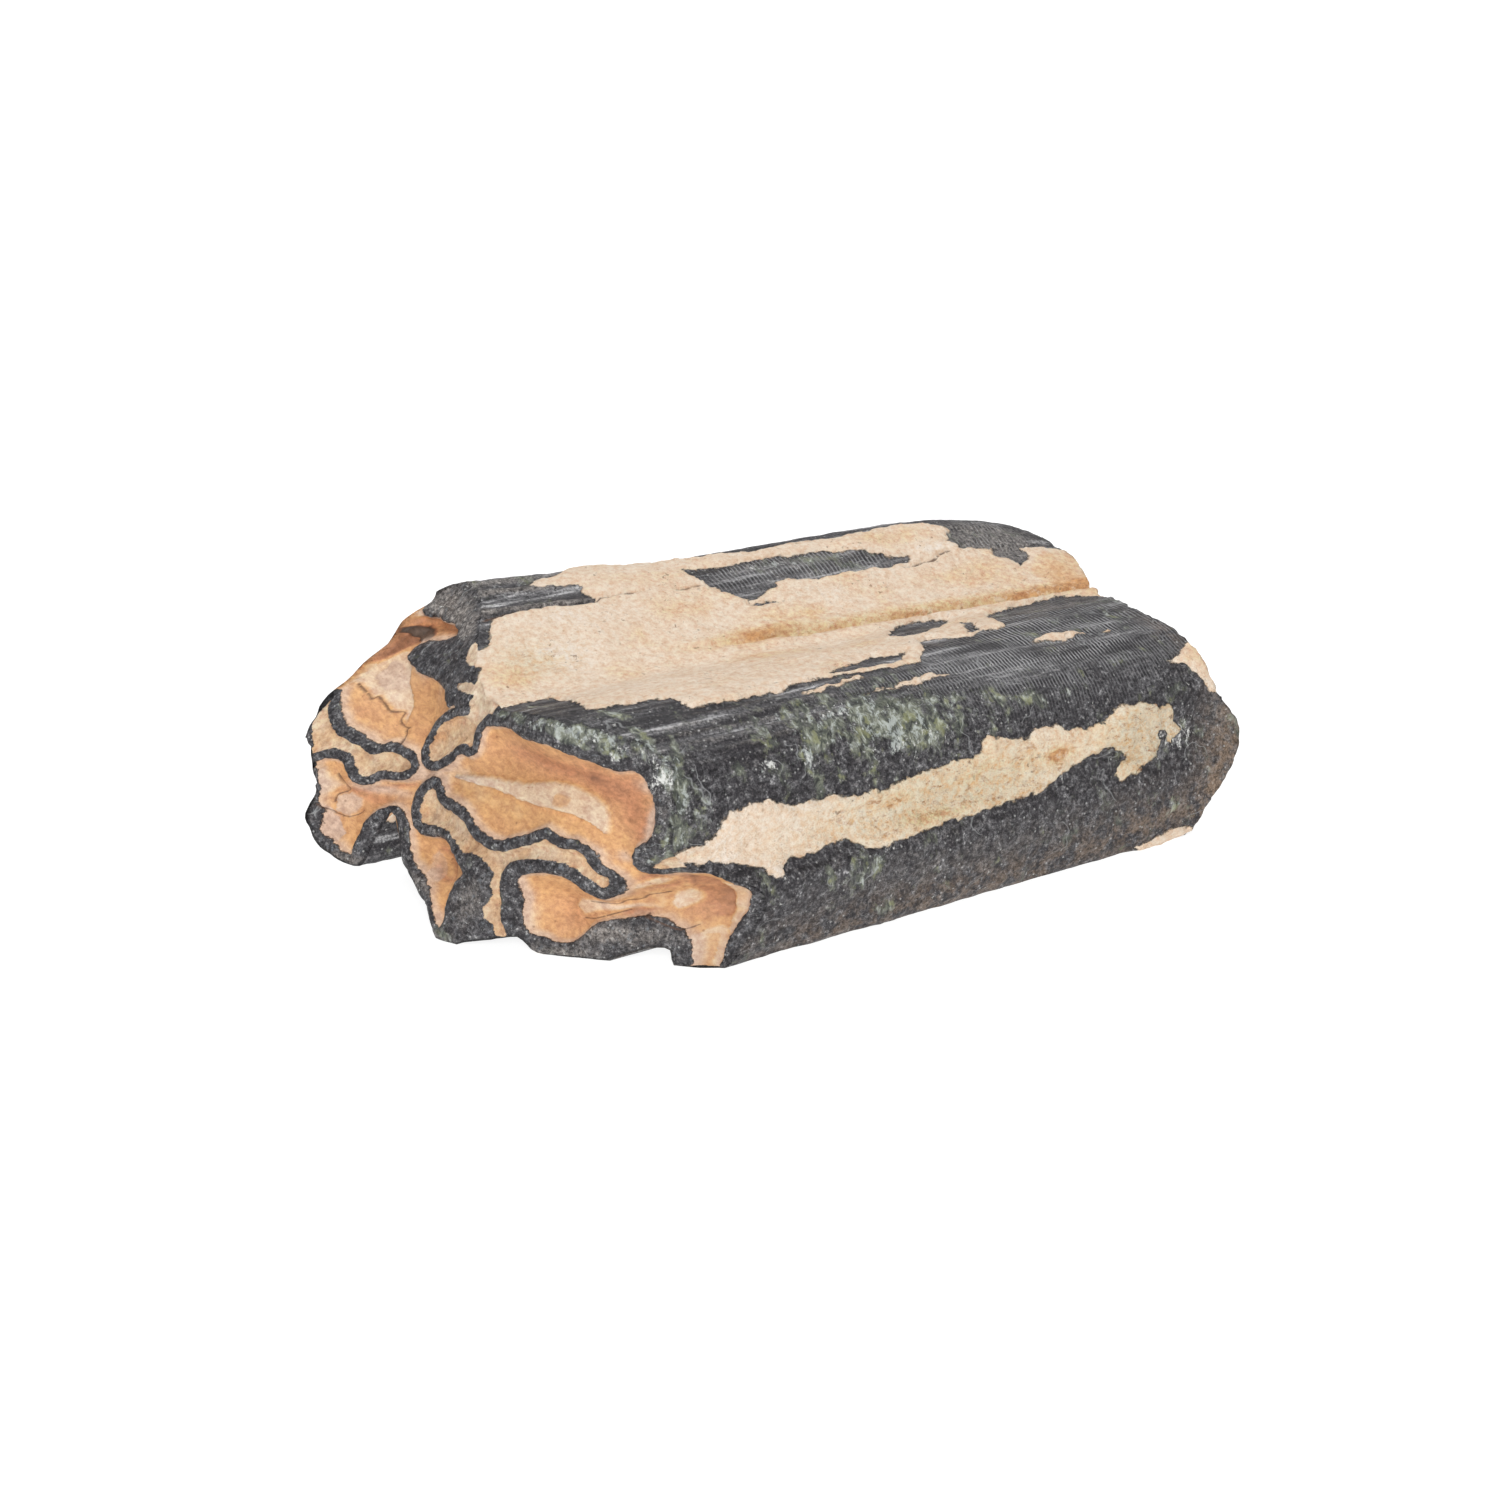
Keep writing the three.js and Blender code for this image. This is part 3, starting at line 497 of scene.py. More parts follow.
ORANGE_CEMENT = [
    (38.4, 8.6, 0.9, 0.45, 2.2), (28.5, 6.9, 4.5, 0.5, 0.85), (32.5, 8.8, 3.5, 0.8, 0.7),
    (26, 8.7, 3, 0.6, 0.35), (26.5, 30.6, 2.2, 0.6, 0.6), (47.5, 29.6, 2.2, 0.5, 0.4),
    (31.5, 32, 2.5, 0.9, 0.5), (7.5, 30.3, 1.5, 1.4, 0.6), (22.5, 34.2, 2.4, 1, 0.4),
    (41, 38.9, 3.5, 0.9, 0.45), (23, 38.4, 2.5, 1, 0.35), (38, 29.6, 8, 0.5, 0.35),
    (44, 32, 4, 2, 0.25), (10.2, 8.6, 0.9, 0.3, 0.7), (51.8, 31.5, 1.5, 2.6, 0.6),
]
WHITE_CEMENT = [
    (12.8, 32.2, 2.2, 1.4, 0.9), (14, 35.2, 2.5, 0.8, 0.5), (43.5, 36.9, 1.6, 0.5, 0.9),
    (46, 8.6, 2.2, 1.2, 0.8), (37.8, 7.2, 1.5, 0.4, 0.8), (15.8, 6.1, 0.5, 0.5, 0.7),
    (14, 23.5, 4, 1.5, 0.2), (17, 8, 9, 3.5, 0.35),
]


# ---------------------------------------------------------------- small tools
def add_object(name, data):
    made = bpy.data.objects.new(name, data)
    bpy.context.scene.collection.objects.link(made)
    return made


def smoothstep(value, low, high):
    part = np.clip((value - low) / (high - low), 0.0, 1.0)
    return part * part * (3.0 - 2.0 * part)


def fractal(points, size, octaves=3, shift=0.0):
    """Smooth noise of about -1 to 1 whose largest lumps are about size millimetres across."""
    places = points / size + shift
    return np.array([noise.fractal(Vector(p), 1.0, 2.0, octaves) for p in places])


def spots(points, rows):
    """The summed soft spots at each point; a row is two places, two reaches and an amount."""
    total = np.zeros(len(points))
    for a, b, reach_a, reach_b, amount in rows:
        away = ((points[:, 0] - a) / reach_a) ** 2 + ((points[:, 1] - b) / reach_b) ** 2
        total += amount * np.exp(-away)
    return total


def bell(value, centre, reach):
    """A bell curve: 1 at the centre, fading within the reach."""
    return np.exp(-(((value - centre) / reach) ** 2))


def curve_at(points, places, closed):
    """The Catmull-Rom curve through the points, at fractional point numbers."""
    count = len(points)
    base = np.floor(places).astype(int)
    if not closed:
        base = np.minimum(base, count - 2)
    part = (places - base)[:, None]
    near = (base + k for k in (-1, 0, 1, 2))
    picked = (points[i % count if closed else np.clip(i, 0, count - 1)] for i in near)
    before, start, end, after = picked
    return (
        start
        + 0.5 * (end - before) * part
        + (before - 2.5 * start + 2.0 * end - 0.5 * after) * part**2
        + (-0.5 * before + 1.5 * start - 1.5 * end + 0.5 * after) * part**3
    )


def smooth_line(line, closed=False, pieces=3):
    """A smooth curve through the points of a line."""
    points = np.array(line, float)
    steps = len(points) * pieces if closed else (len(points) - 1) * pieces + 1
    return curve_at(points, np.arange(steps) / pieces, closed)


def segment_distance(points, starts, ends):
    """Distance from each point to the nearest of many straight segments."""
    along = ends - starts
    size = np.maximum((along**2).sum(1), 1e-12)
    found = np.empty(len(points))
    for first in range(0, len(points), BATCH):
        part = points[first : first + BATCH]
        offset = part[:, None] - starts[None]
        share = np.clip((offset * along).sum(2) / size, 0.0, 1.0)
        gap = offset - share[..., None] * along
        found[first : first + BATCH] = np.sqrt((gap**2).sum(2).min(1))
    return found


def line_distance(points, line):
    """Distance to the smooth open line through some places."""
    curve = smooth_line(line)
    return segment_distance(points, curve[:-1], curve[1:])


def inside_distance(points, outline):
    """Distance to a closed outline, positive inside it. Far points get a rough value."""
    shape = np.array(outline, float)
    low, high = shape.min(0) - FAR, shape.max(0) + FAR
    near = ((points >= low) & (points <= high)).all(1)
    found = np.full(len(points), -FAR)
    part = points[near]
    ends = np.roll(shape, -1, 0)
    gap = segment_distance(part, shape, ends)
    within = np.zeros(len(part), bool)
    for (ay, az), (by, bz) in zip(shape, ends):
        crosses = (az > part[:, 1]) != (bz > part[:, 1])
        if az != bz:
            within ^= crosses & (part[:, 0] < (by - ay) * (part[:, 1] - az) / (bz - az) + ay)
    found[near] = np.where(within, gap, -gap)
    return found


def any_inside(points, outlines):
    """Distance to the nearest of several outlines, positive inside any of them."""
    return np.max([inside_distance(points, outline) for outline in outlines], axis=0)


def in_cement_fills(points):
    return any_inside(points, [smooth_line(fill, True) for fill in CEMENT_FILLS])


def nearest_line(points, lines):
    """Distance to the nearest of several open lines."""
    return np.min([line_distance(points, line) for line in lines], axis=0)


# ---------------------------------------------------------------- the crown's basic shape
def plate_kernel(dy, dz):
    squared = dy * dy + dz * dz
    return np.where(squared > 0, 0.5 * squared * np.log(np.maximum(squared, 1e-12)), 0.0)


def thin_sheet(places):
    """A thin bent sheet near the given (y, z, x) places, returned as x(y, z)."""
    at = np.array(places)
    count = len(at)
    flat = np.column_stack([np.ones(count), at[:, 0], at[:, 1]])
    table = np.zeros((count + 3, count + 3))
    table[:count, :count] = plate_kernel(at[:, None, 0] - at[None, :, 0], at[:, None, 1] - at[None, :, 1])
    table[:count, :count] += SHEET_SLACK * np.eye(count)
    table[:count, count:] = flat
    table[count:, :count] = flat.T
    weights = np.linalg.solve(table, np.append(at[:, 2], [0, 0, 0]))

    def surface(y, z):
        pull = plate_kernel(y[:, None] - at[:, 0], z[:, None] - at[:, 1]) @ weights[:count]
        return pull + weights[count] + weights[count + 1] * y + weights[count + 2] * z

    return surface


chewing_sheet = thin_sheet(CHEWING_PLACES)
break_sheet = thin_sheet(BREAK_PLACES)


def chewing_base(points):
    return chewing_sheet(points[:, 0], points[:, 1]) + spots(points, CHEWING_HOLLOWS)


def break_base(points):
    return break_sheet(points[:, 0], points[:, 1]) - spots(points, BREAK_HOLLOWS)


def outline_at(places):
    """The smooth outline's four columns at fractional landmark numbers."""
    return curve_at(OUTLINE, places, True)


def girth_places():
    """Landmark numbers of the vertices round the crown, finer where the eye goes, and their girths."""
    places = np.linspace(0.0, len(OUTLINE), OUTLINE_SAMPLES)
    curve = outline_at(places)[:, :2]
    girth = np.append(0.0, np.cumsum(np.hypot(*np.diff(curve, axis=0).T)))
    fine = np.arange(0.0, SEEN_GIRTH, FINE_AROUND)
    hidden = girth[-1] - SEEN_GIRTH
    rest = int(round(hidden / COARSE_AROUND))
    coarse = SEEN_GIRTH + hidden * np.arange(rest) / rest
    wanted = np.append(fine, coarse)
    return np.interp(wanted, girth, places), wanted


def wall_grid():
    """Base points of the wall [around, along, xyz], and the girth of each column."""
    places, girth = girth_places()
    ends = outline_at(places)
    front = np.column_stack([chewing_base(ends[:, :2]), ends[:, :2]])
    back = np.column_stack([break_base(ends[:, 2:]), ends[:, 2:]])
    t = np.linspace(0.0, 1.0, STEPS_ALONG + 1)[None, :, None]
    grid = front[:, None] * (1 - t) + back[:, None] * t
    crest = bell(grid[..., 1], CREST_Y, CREST_REACH)
    crest *= smoothstep(grid[..., 2], CREST_FROM, CREST_TO)
    grid[..., 2] += crest * CREST_RISE * t[..., 0] ** 4 * (1 - t[..., 0])
    return grid, girth


def outward(grid):
    """Unit normals of a grid that closes on itself round the crown."""
    around = np.roll(grid, -1, 0) - np.roll(grid, 1, 0)
    along = np.gradient(grid, axis=1)
    normal = np.cross(along, around)
    return normal / np.maximum(np.linalg.norm(normal, axis=2, keepdims=True), 1e-9)


# ---------------------------------------------------------------- what each place is made of
def fields(points, **given):
    """One value a point for each material field; a field that isn't given is 0 everywhere."""
    return {name: np.zeros(len(points)) + given.get(name, 0.0) for name in FIELDS}


def raggedness(points, octaves, *noises):
    """Noises of (size, shift) that push places about, so that outlines get torn edges."""
    return np.column_stack([fractal(points, size, octaves, shift) for size, shift in noises])


def groove_line(x):
    """Girth of the crease in the cement between the two cheek lobes."""
    return 29.5 - 0.045 * (x - 26.0)


def enamel_ridges(x, girth, lumps):
    """Height of the long ridges on the two cheek lobes."""
    near = smoothstep(girth, 13.5, 15.0) * (1 - smoothstep(girth, 19.0, 20.5))
    near *= 1 - 0.7 * smoothstep(x, 26.0, 36.0)
    ridges = 0.055 * near * np.cos(math.tau * (girth + 0.35 * lumps) / RIDGE_PITCH)
    far = 1 - smoothstep(x, 14.0, 22.0)
    ridges += far * (0.16 * bell(girth, 38.9, 0.35) - 0.16 * bell(girth, 38.1, 0.3))
    return ridges + far * 0.14 * bell(girth, 36.9, 0.22) + far * 0.15 * bell(girth, 40.6, 0.5)


def wall_looks(points, girth):
    """Material fields and relief height of wall points."""
    x = points[:, 0]
    place = np.column_stack([x, girth])
    # The outlines of the cement are ragged, most of all at the broken end of the strip.
    ragged = raggedness(points, 5, (1.2, 3.1), (1.0, 7.7))
    frayed = bell(x, STRIP_END[0], STRIP_END_REACH) * bell(girth, STRIP_END[1], STRIP_END_REACH)
    torn = place + (0.26 + 0.45 * frayed)[:, None] * ragged
    strip = inside_distance(torn, HIND_STRIP)
    cheek = inside_distance(torn, CHEEK_CEMENT)
    cheek = np.minimum(cheek, -any_inside(torn, DARK_ISLANDS))
    cement = np.maximum(np.maximum(strip, cheek), any_inside(torn, SMALL_CEMENT))
    tan = any_inside(place + 0.3 * ragged, TAN_BREAKS)
    chip = inside_distance(place + 0.3 * ragged, FRONT_CHIP)
    crack = nearest_line(place + 0.12 * ragged, WALL_CRACKS)
    # Enamel is ridged, and gritty where it is ashen.
    lumps = fractal(points, 5.0, 3, 1.3)
    ridges = fractal(points * np.array([0.12, 1.0, 1.0]), 1.5, 3, 9.2)
    grain = fractal(points, 0.9, 5, 5.5)
    patch = smoothstep(cement, -0.06, 0.34)
    ribs = enamel_ridges(x, girth, lumps)
    ash = spots(place, WALL_ASH) + 3.0 * ribs
    grit = (0.04 + 0.10 * np.clip(ash, 0, 1)) * grain
    height = 0.10 * lumps + (0.12 * ridges + ribs + grit) * (1 - patch)
    # Cement stands a little higher, crumbly in places, with a crease along the groove.
    past = girth - groove_line(x)
    sunk = smoothstep(x, 16.0, 30.0) * patch
    crumbs = spots(place, CRUMBS) + 0.35 * sunk * bell(past, 0.9, 0.9)
    height += patch * (0.26 + (0.07 + 0.16 * crumbs) * grain + 0.10 * fractal(points, 2.6, 3, 4.4))
    height -= sunk * (0.5 * bell(past, 0.4, 0.36) * (past > 0.0) - 0.16 * bell(past, -0.5, 0.6))
    # Cracks, the chip, and the lumpy lower edge.
    height -= 0.32 * bell(crack, 0.0, 0.15) * (crack < 0.6)
    height -= 0.25 * smoothstep(chip, -0.1, 0.4)
    height += 0.3 * bell(girth, 0.0, 2.2) * fractal(points, 2.6, 3, 6.0)
    height *= 1 - 0.9 * bell(girth, CLEFT_GIRTH, CLEFT_REACH)
    stain = spots(place, ORANGE_CEMENT) - spots(place, WHITE_CEMENT)
    looks = fields(
        points,
        hard=-np.maximum(np.maximum(cement, tan), chip) * 2.4,
        pale=np.where(chip > -0.15, -1.0, 1.0),
        tone=-0.2 + 0.3 * lumps,
        bloom=spots(place, GREEN_BLOOM),
        frost=spots(place, FROST),
        ash=ash,
        lines=spots(place, GROWTH_LINES),
        ribbed=smoothstep(girth + 2.0 * lumps, 12.5, 16.5),
        film=spots(place, BROWN_FILM) + 1.2 * smoothstep(tan, -0.2, 0.6),
        stain=stain + sunk * 0.75 * bell(past, 0.85, 0.9) + 0.4 * smoothstep(tan, 0.0, 0.8),
        crumbs=crumbs,
        crack=np.minimum(crack, FAR),
        side=1.0,
    )
    return looks, height


def face_looks(points, solid, rim):
    """Material fields and relief depth of chewing-face points (y, z) inside the given rim."""
    inset = inside_distance(points, rim)
    bands = np.max([half - line_distance(points, line) for line, half in ENAMEL_BANDS], axis=0)
    knot_wall = inside_distance(points, smooth_line(KNOT_HIND_WALL, True))
    outside = -inside_distance(points, FACE_CORE)
    fuzz = 0.07 * fractal(solid, 0.6, 4, 2.2)
    ragged = raggedness(solid, 4, (0.9, 1.7), (0.8, 5.2))
    stub = inside_distance(points, FOLD_STUB)
    spill = any_inside(points + 0.1 * ragged, FACE_SPILLS)
    enamel = np.minimum(np.maximum.reduce([bands, knot_wall, outside, stub]) + fuzz, -spill)
    cement = np.maximum(in_cement_fills(points), spill)
    crack = nearest_line(points, FACE_CRACKS)
    crease = nearest_line(points, FACE_CREASES)
    soft = np.maximum(-enamel, 0.0)
    filled = smoothstep(cement, -0.05, 0.1)
    rough = fractal(solid, 1.0, 4, 6.1)
    heel = smoothstep(-points[:, 0], 8.0, 9.6) * smoothstep(-points[:, 1], -7.0, -4.5)

    # Dentine is scooped out between the enamel ridges, which stand up with rounded tops.
    halo = bell(soft, 0.0, 0.26)
    tone = spots(points, DENTINE_TONES) + 0.35 * halo
    blush = spots(points, DENTINE_BLUSH) + 0.85 * halo
    dentine = 0.34 * (1 - np.exp(-soft / 0.16)) + 0.8 * (1 - np.exp(-soft / 1.4)) + 0.03 * rough
    torn = points + 0.06 * ragged
    for outline, tone_shift, blush_shift, drop, edge in FACE_PATCHES:
        share = smoothstep(inside_distance(torn, outline), -0.5 * edge, edge)
        tone += tone_shift * share
        blush += blush_shift * share
        dentine += drop * share
    wrinkles = fractal(solid * np.array([1.0, 0.45, 1.7]), 1.2, 4, 8.8)
    chipped = smoothstep(inside_distance(points, PALE_CHIP), -0.1, 0.4)
    flaky = np.maximum(heel, 0.7 * chipped)
    dentine += flaky * 0.16 * wrinkles
    tone -= 0.3 * flaky * wrinkles
    cement_drop = 0.46 * (1 - np.exp(-soft / 0.18)) * smoothstep(inset, -0.3, 2.2) + 0.12 * rough
    depth = np.where(soft > 0, dentine * (1 - filled) + cement_drop * filled, 0.0)
    top = np.sqrt(np.clip(enamel / 0.35, 0.0, 1.0)) * smoothstep(inset, 0.0, 0.5)
    depth -= top * (0.24 + 0.07 * fractal(solid, 0.8, 3, 4.0))
    ash = spots(points, FACE_ASH)
    depth += 0.16 * np.clip(ash, 0.0, 1.0) * fractal(solid, 0.8, 5, 3.3) * top
    depth += 0.22 * bell(crack, 0.0, 0.11) + 0.10 * bell(crease, 0.0, 0.16)
    bevel = smoothstep(outside, 0.2, 0.6)
    bloomed = bevel * (1 - smoothstep(points[:, 0], 0.0, 3.0)) * smoothstep(points[:, 1], 3.0, 6.0)
    looks = fields(
        points,
        hard=enamel * 7.0,
        pale=cement * 7.0,
        # The dentine is darker along the creases: painted shade in them.
        tone=tone - 0.5 * bell(crease, 0.0, 0.15),
        blush=blush,
        bloom=-0.2 + 1.1 * bloomed,
        frost=0.1 + 0.1 * bloomed + spots(points, FACE_FROST),
        ash=ash,
        film=0.2 * np.clip(ash, 0, 1) + 0.9 * heel * (enamel < 0),
        stain=0.5 + 0.3 * rough - 0.4 * smoothstep(points[:, 1], 11.5, 14.0),
        crumbs=0.12,
        crack=np.minimum(crack, FAR) + 0.05,
    )
    return looks, depth


def break_looks(points, solid):
    """Material fields and relief of break points (y, z): the same folds, seen where they snapped."""
    spread = points * BREAK_STRETCH + BREAK_SHIFT
    lines = [FRONT_FOLD, CHEEK_FOLD, HIND_FOLD_TOP, HIND_CUSP, KNOT_WALL]
    rim = outline_at(np.linspace(0.0, len(OUTLINE), BREAK_SAMPLES, endpoint=False))[:, 2:]
    inset = segment_distance(points, rim, np.roll(rim, -1, 0))
    wobble = 0.35 * fractal(solid, 2.5, 3, 1.1)
    folds = np.max([BREAK_FOLD_HALF - line_distance(spread, line) for line in lines], axis=0)
    enamel = np.maximum(folds, BREAK_SHELL - inset + wobble) + 0.1 * fractal(solid, 0.8, 3, 2.0)
    rough = fractal(solid, 1.4, 4, 3.3)
    ledges = np.abs(fractal(solid, 4.0, 3, 5.1))
    depth = 0.18 * rough + 0.8 * ledges - 0.15 * np.clip(enamel / 0.4, 0, 1)
    tone = 0.2 + 0.5 * fractal(solid, 3.0, 2, 4.1)
    looks = fields(
        points, hard=enamel * 5.0, pale=in_cement_fills(spread) * 4.0, tone=tone, blush=0.3, bloom=0.3,
        frost=0.1, ash=0.4, film=0.9, stain=0.3 + 0.4 * rough, crumbs=0.5, crack=FAR,
    )
    return looks, depth


# ---------------------------------------------------------------- the mesh
def well_inside(points, rim, spacing):
    """The points that keep clear of the rim."""
    return points[inside_distance(points, rim) > RIM_CLEARANCE * spacing]


def fill_outline(rim, spacing, extra=None):
    """Points on a triangular lattice inside a closed outline, and the triangles that join
    them with the outline. Point numbers start with the outline's own."""
    low, high = rim.min(0), rim.max(0)
    row = spacing * math.sqrt(0.75)
    lattice = [
        (low[0] + spacing * (i + 0.5 * (j % 2)), low[1] + row * j)
        for j in range(int((high[1] - low[1]) / row) + 1)
        for i in range(int((high[0] - low[0]) / spacing) + 1)
    ]
    lattice = well_inside(np.array(lattice), rim, spacing)
    if extra is not None:
        extra = well_inside(extra, rim, spacing)
        clear = segment_distance(lattice, extra, extra) > EXTRA_CLEARANCE * spacing
        lattice = np.vstack([lattice[clear], extra])
    points = np.vstack([rim, lattice])
    count = len(rim)
    edges = [(i, (i + 1) % count) for i in range(count)]
    made = delaunay_2d_cdt([Vector(p) for p in points], edges, [], 1, 1e-7)
    origins = [source[0] if source else -1 for source in made[3]]
    if len(made[0]) != len(points) or -1 in origins:
        raise RuntimeError("an end outline crosses itself")
    faces = [tuple(origins[i] for i in face) for face in made[2]]
    return lattice, faces


def crack_points():
    """Places along the cracks, close together, so that the mesh can follow them."""
    kept = []
    for line in FACE_CRACKS + FACE_CREASES:
        for point in smooth_line(line, pieces=6):
            if all(math.dist(point, other) > CRACK_SPACING for other in kept):
                kept.append(point)
    return np.array(kept)


def build_tooth():
    """The whole tooth as one closed mesh: the wall, the chewing face and the break."""
    grid, girth = wall_grid()
    around, along = grid.shape[:2]
    flat = grid.reshape(-1, 3)
    wall_part, height = wall_looks(flat, np.repeat(girth, along))
    wall = grid + outward(grid) * height.reshape(around, along, 1)
    # Both rims are a little worn and chipped.
    wear = fractal(flat, 1.2, 3, 6.6).reshape(around, along)
    from_front = np.linalg.norm(grid - grid[:, :1], axis=2)
    from_back = np.linalg.norm(grid - grid[:, -1:], axis=2)
    worn = CHEWING_WEAR + CHEWING_WEAR_NOISE * wear
    wall[..., 0] += worn * np.exp(-from_front / CHEWING_WEAR_REACH)
    for centre, reach, shift in RIM_CHIPS:
        wall[..., 0] += shift * bell(girth, centre, reach)[:, None] * np.exp(-from_front / CHIP_REACH)
    wall[..., 0] -= BREAK_WEAR_NOISE * np.abs(wear) * np.exp(-from_back / BREAK_WEAR_REACH)
    wall[..., 2] = np.where(grid[..., 2] < REST_WEAR, 0.0, np.maximum(wall[..., 2], 0.0))

    number = np.arange(around * along).reshape(around, along)
    after = np.roll(number, -1, 0)
    quads = np.stack([number[:, :-1], number[:, 1:], after[:, 1:], after[:, :-1]], -1)
    faces = [tuple(q) for q in quads.reshape(-1, 4).tolist()]

    front_rim = wall[:, 0, 1:]
    lattice, triangles = fill_outline(front_rim, FACE_SPACING, crack_points())
    solid = np.column_stack([chewing_base(lattice), lattice])
    face_part, depth = face_looks(lattice, solid, front_rim)
    solid[:, 0] += depth

    def renumber(face, rim, first):
        return tuple(int(rim[i]) if i < around else first + i - around for i in face)

    faces += [renumber(f[::-1], number[:, 0], number.size) for f in triangles]

    back_rim = wall[:, -1, 1:]
    lattice, triangles = fill_outline(back_rim, BREAK_SPACING)
    broken = np.column_stack([break_base(lattice), lattice])
    break_part, depth = break_looks(lattice, broken)
    broken[:, 0] = np.maximum(broken[:, 0] - depth, BREAK_LIMIT)
    faces += [renumber(f, number[:, -1], number.size + len(solid)) for f in triangles]

    vertices = np.vstack([wall.reshape(-1, 3), solid, broken])
    placed = (vertices - SEAT) * FIT * MM

    mesh = bpy.data.meshes.new("fossil_tooth")
    mesh.from_pydata(placed.tolist(), [], faces)
    mesh.update()
    for name in FIELDS:
        values = np.concatenate([wall_part[name], face_part[name], break_part[name]])
        layer = mesh.attributes.new(name, "FLOAT", "POINT")
        layer.data.foreach_set("value", values.astype(np.float32))
    mesh.shade_smooth()
    return add_object("fossil_tooth", mesh)


# ---------------------------------------------------------------- materials
def tint(red, green, blue):
    """A linear colour from display levels of 0 to 255."""

    def linear(value):
        share = value / 255.0
        return share / 12.92 if share <= 0.04045 else ((share + 0.055) / 1.055) ** 2.4

    return (linear(red), linear(green), linear(blue), 1.0)


class Weaver:
    """Short names for the shader nodes this scene uses."""

    def __init__(self, material):
        material.use_nodes = True
        self.tree = material.node_tree
        self.tree.nodes.clear()
        place = self.node("TexCoord", {}).outputs["Object"]
        self.mm = self.node("VectorMath", {0: place, "Scale": 1000.0}, operation="SCALE").outputs[0]

    def node(self, kind, inputs, **settings):
        """A new node, with each of its inputs linked to a socket or set to a constant."""
        made = self.tree.nodes.new("ShaderNode" + kind)
        for name, value in settings.items():
            setattr(made, name, value)
        for name, value in inputs.items():
            if isinstance(value, bpy.types.NodeSocket):
                self.tree.links.new(value, made.inputs[name])
            else:
                made.inputs[name].default_value = value
        return made

    def math(self, operation, a, b=0.0):
        return self.node("Math", {0: a, 1: b}, operation=operation).outputs[0]

    def add(self, a, b):
        return self.math("ADD", a, b)

    def times(self, a, b):
        return self.math("MULTIPLY", a, b)

    def field(self, name):
        return self.node("Attribute", {}, attribute_name=name).outputs["Fac"]

    def noise(self, size, detail=3.0, rough=0.55, stretch=(1.0, 1.0, 1.0), twist=0.0, shift=0.0):
        """Noise of 0 to 1 with lumps about size millimetres across."""
        where = self.node("VectorMath", {0: self.mm, 1: stretch}, operation="MULTIPLY").outputs[0]
        where = self.node("VectorMath", {0: where, 1: (shift, shift, shift)}, operation="ADD").outputs[0]
        return self.node("TexNoise", {
            "Vector": where, "Scale": 1.0 / size, "Detail": detail, "Roughness": rough, "Distortion": twist,
        }).outputs["Fac"]

    def drift(self, strength, *lumps, **more):
        """Noise about zero: half the strength either way."""
        return self.times(self.add(self.noise(*lumps, **more), -0.5), strength)

    def cells(self, size):
        """Distance to scattered dots, in cells."""
        return self.node("TexVoronoi", {"Vector": self.mm, "Scale": 1.0 / size}).outputs["Distance"]

    def step(self, value, low, high, to_low=0.0, to_high=1.0):
        """A smooth step from to_low to to_high as value goes from low to high."""
        ends = {"Value": value, "From Min": low, "From Max": high, "To Min": to_low, "To Max": to_high}
        return self.node("MapRange", ends, interpolation_type="SMOOTHSTEP").outputs["Result"]

    def number(self, share, a, b):
        return self.node("Mix", {0: share, 2: a, 3: b}, data_type="FLOAT").outputs[0]

    def blend(self, share, a, b):
        return self.node("Mix", {0: share, 6: a, 7: b}, data_type="RGBA").outputs[2]

    def coat(self, colour, mask, strength, levels):
        """A flat colour laid over another where the mask is high."""
        return self.blend(self.times(mask, strength), colour, tint(*levels))

    def overlay(self, colour, share, value, low, high):
        """A colour made darker where the value is near low, and lighter where it is near high."""
        level = self.step(value, low, high)
        grey = self.node("CombineColor", {0: level, 1: level, 2: level}).outputs[0]
        inputs = {0: share, 6: colour, 7: grey}
        return self.node("Mix", inputs, data_type="RGBA", blend_type="OVERLAY").outputs[2]

    def ramp(self, value, *stops):
        """Colours that blend from stop to stop, each stop a position and three colour levels."""
        made = self.node("ValToRGB", {"Fac": value})
        elements = made.color_ramp.elements
        elements[0].position = stops[0][0]
        elements[1].position = stops[-1][0]
        for position, *levels in stops[1:-1]:
            elements.new(position)
        for element, (position, *levels) in zip(elements, stops):
            element.color = tint(*levels)
        return made.outputs["Color"]


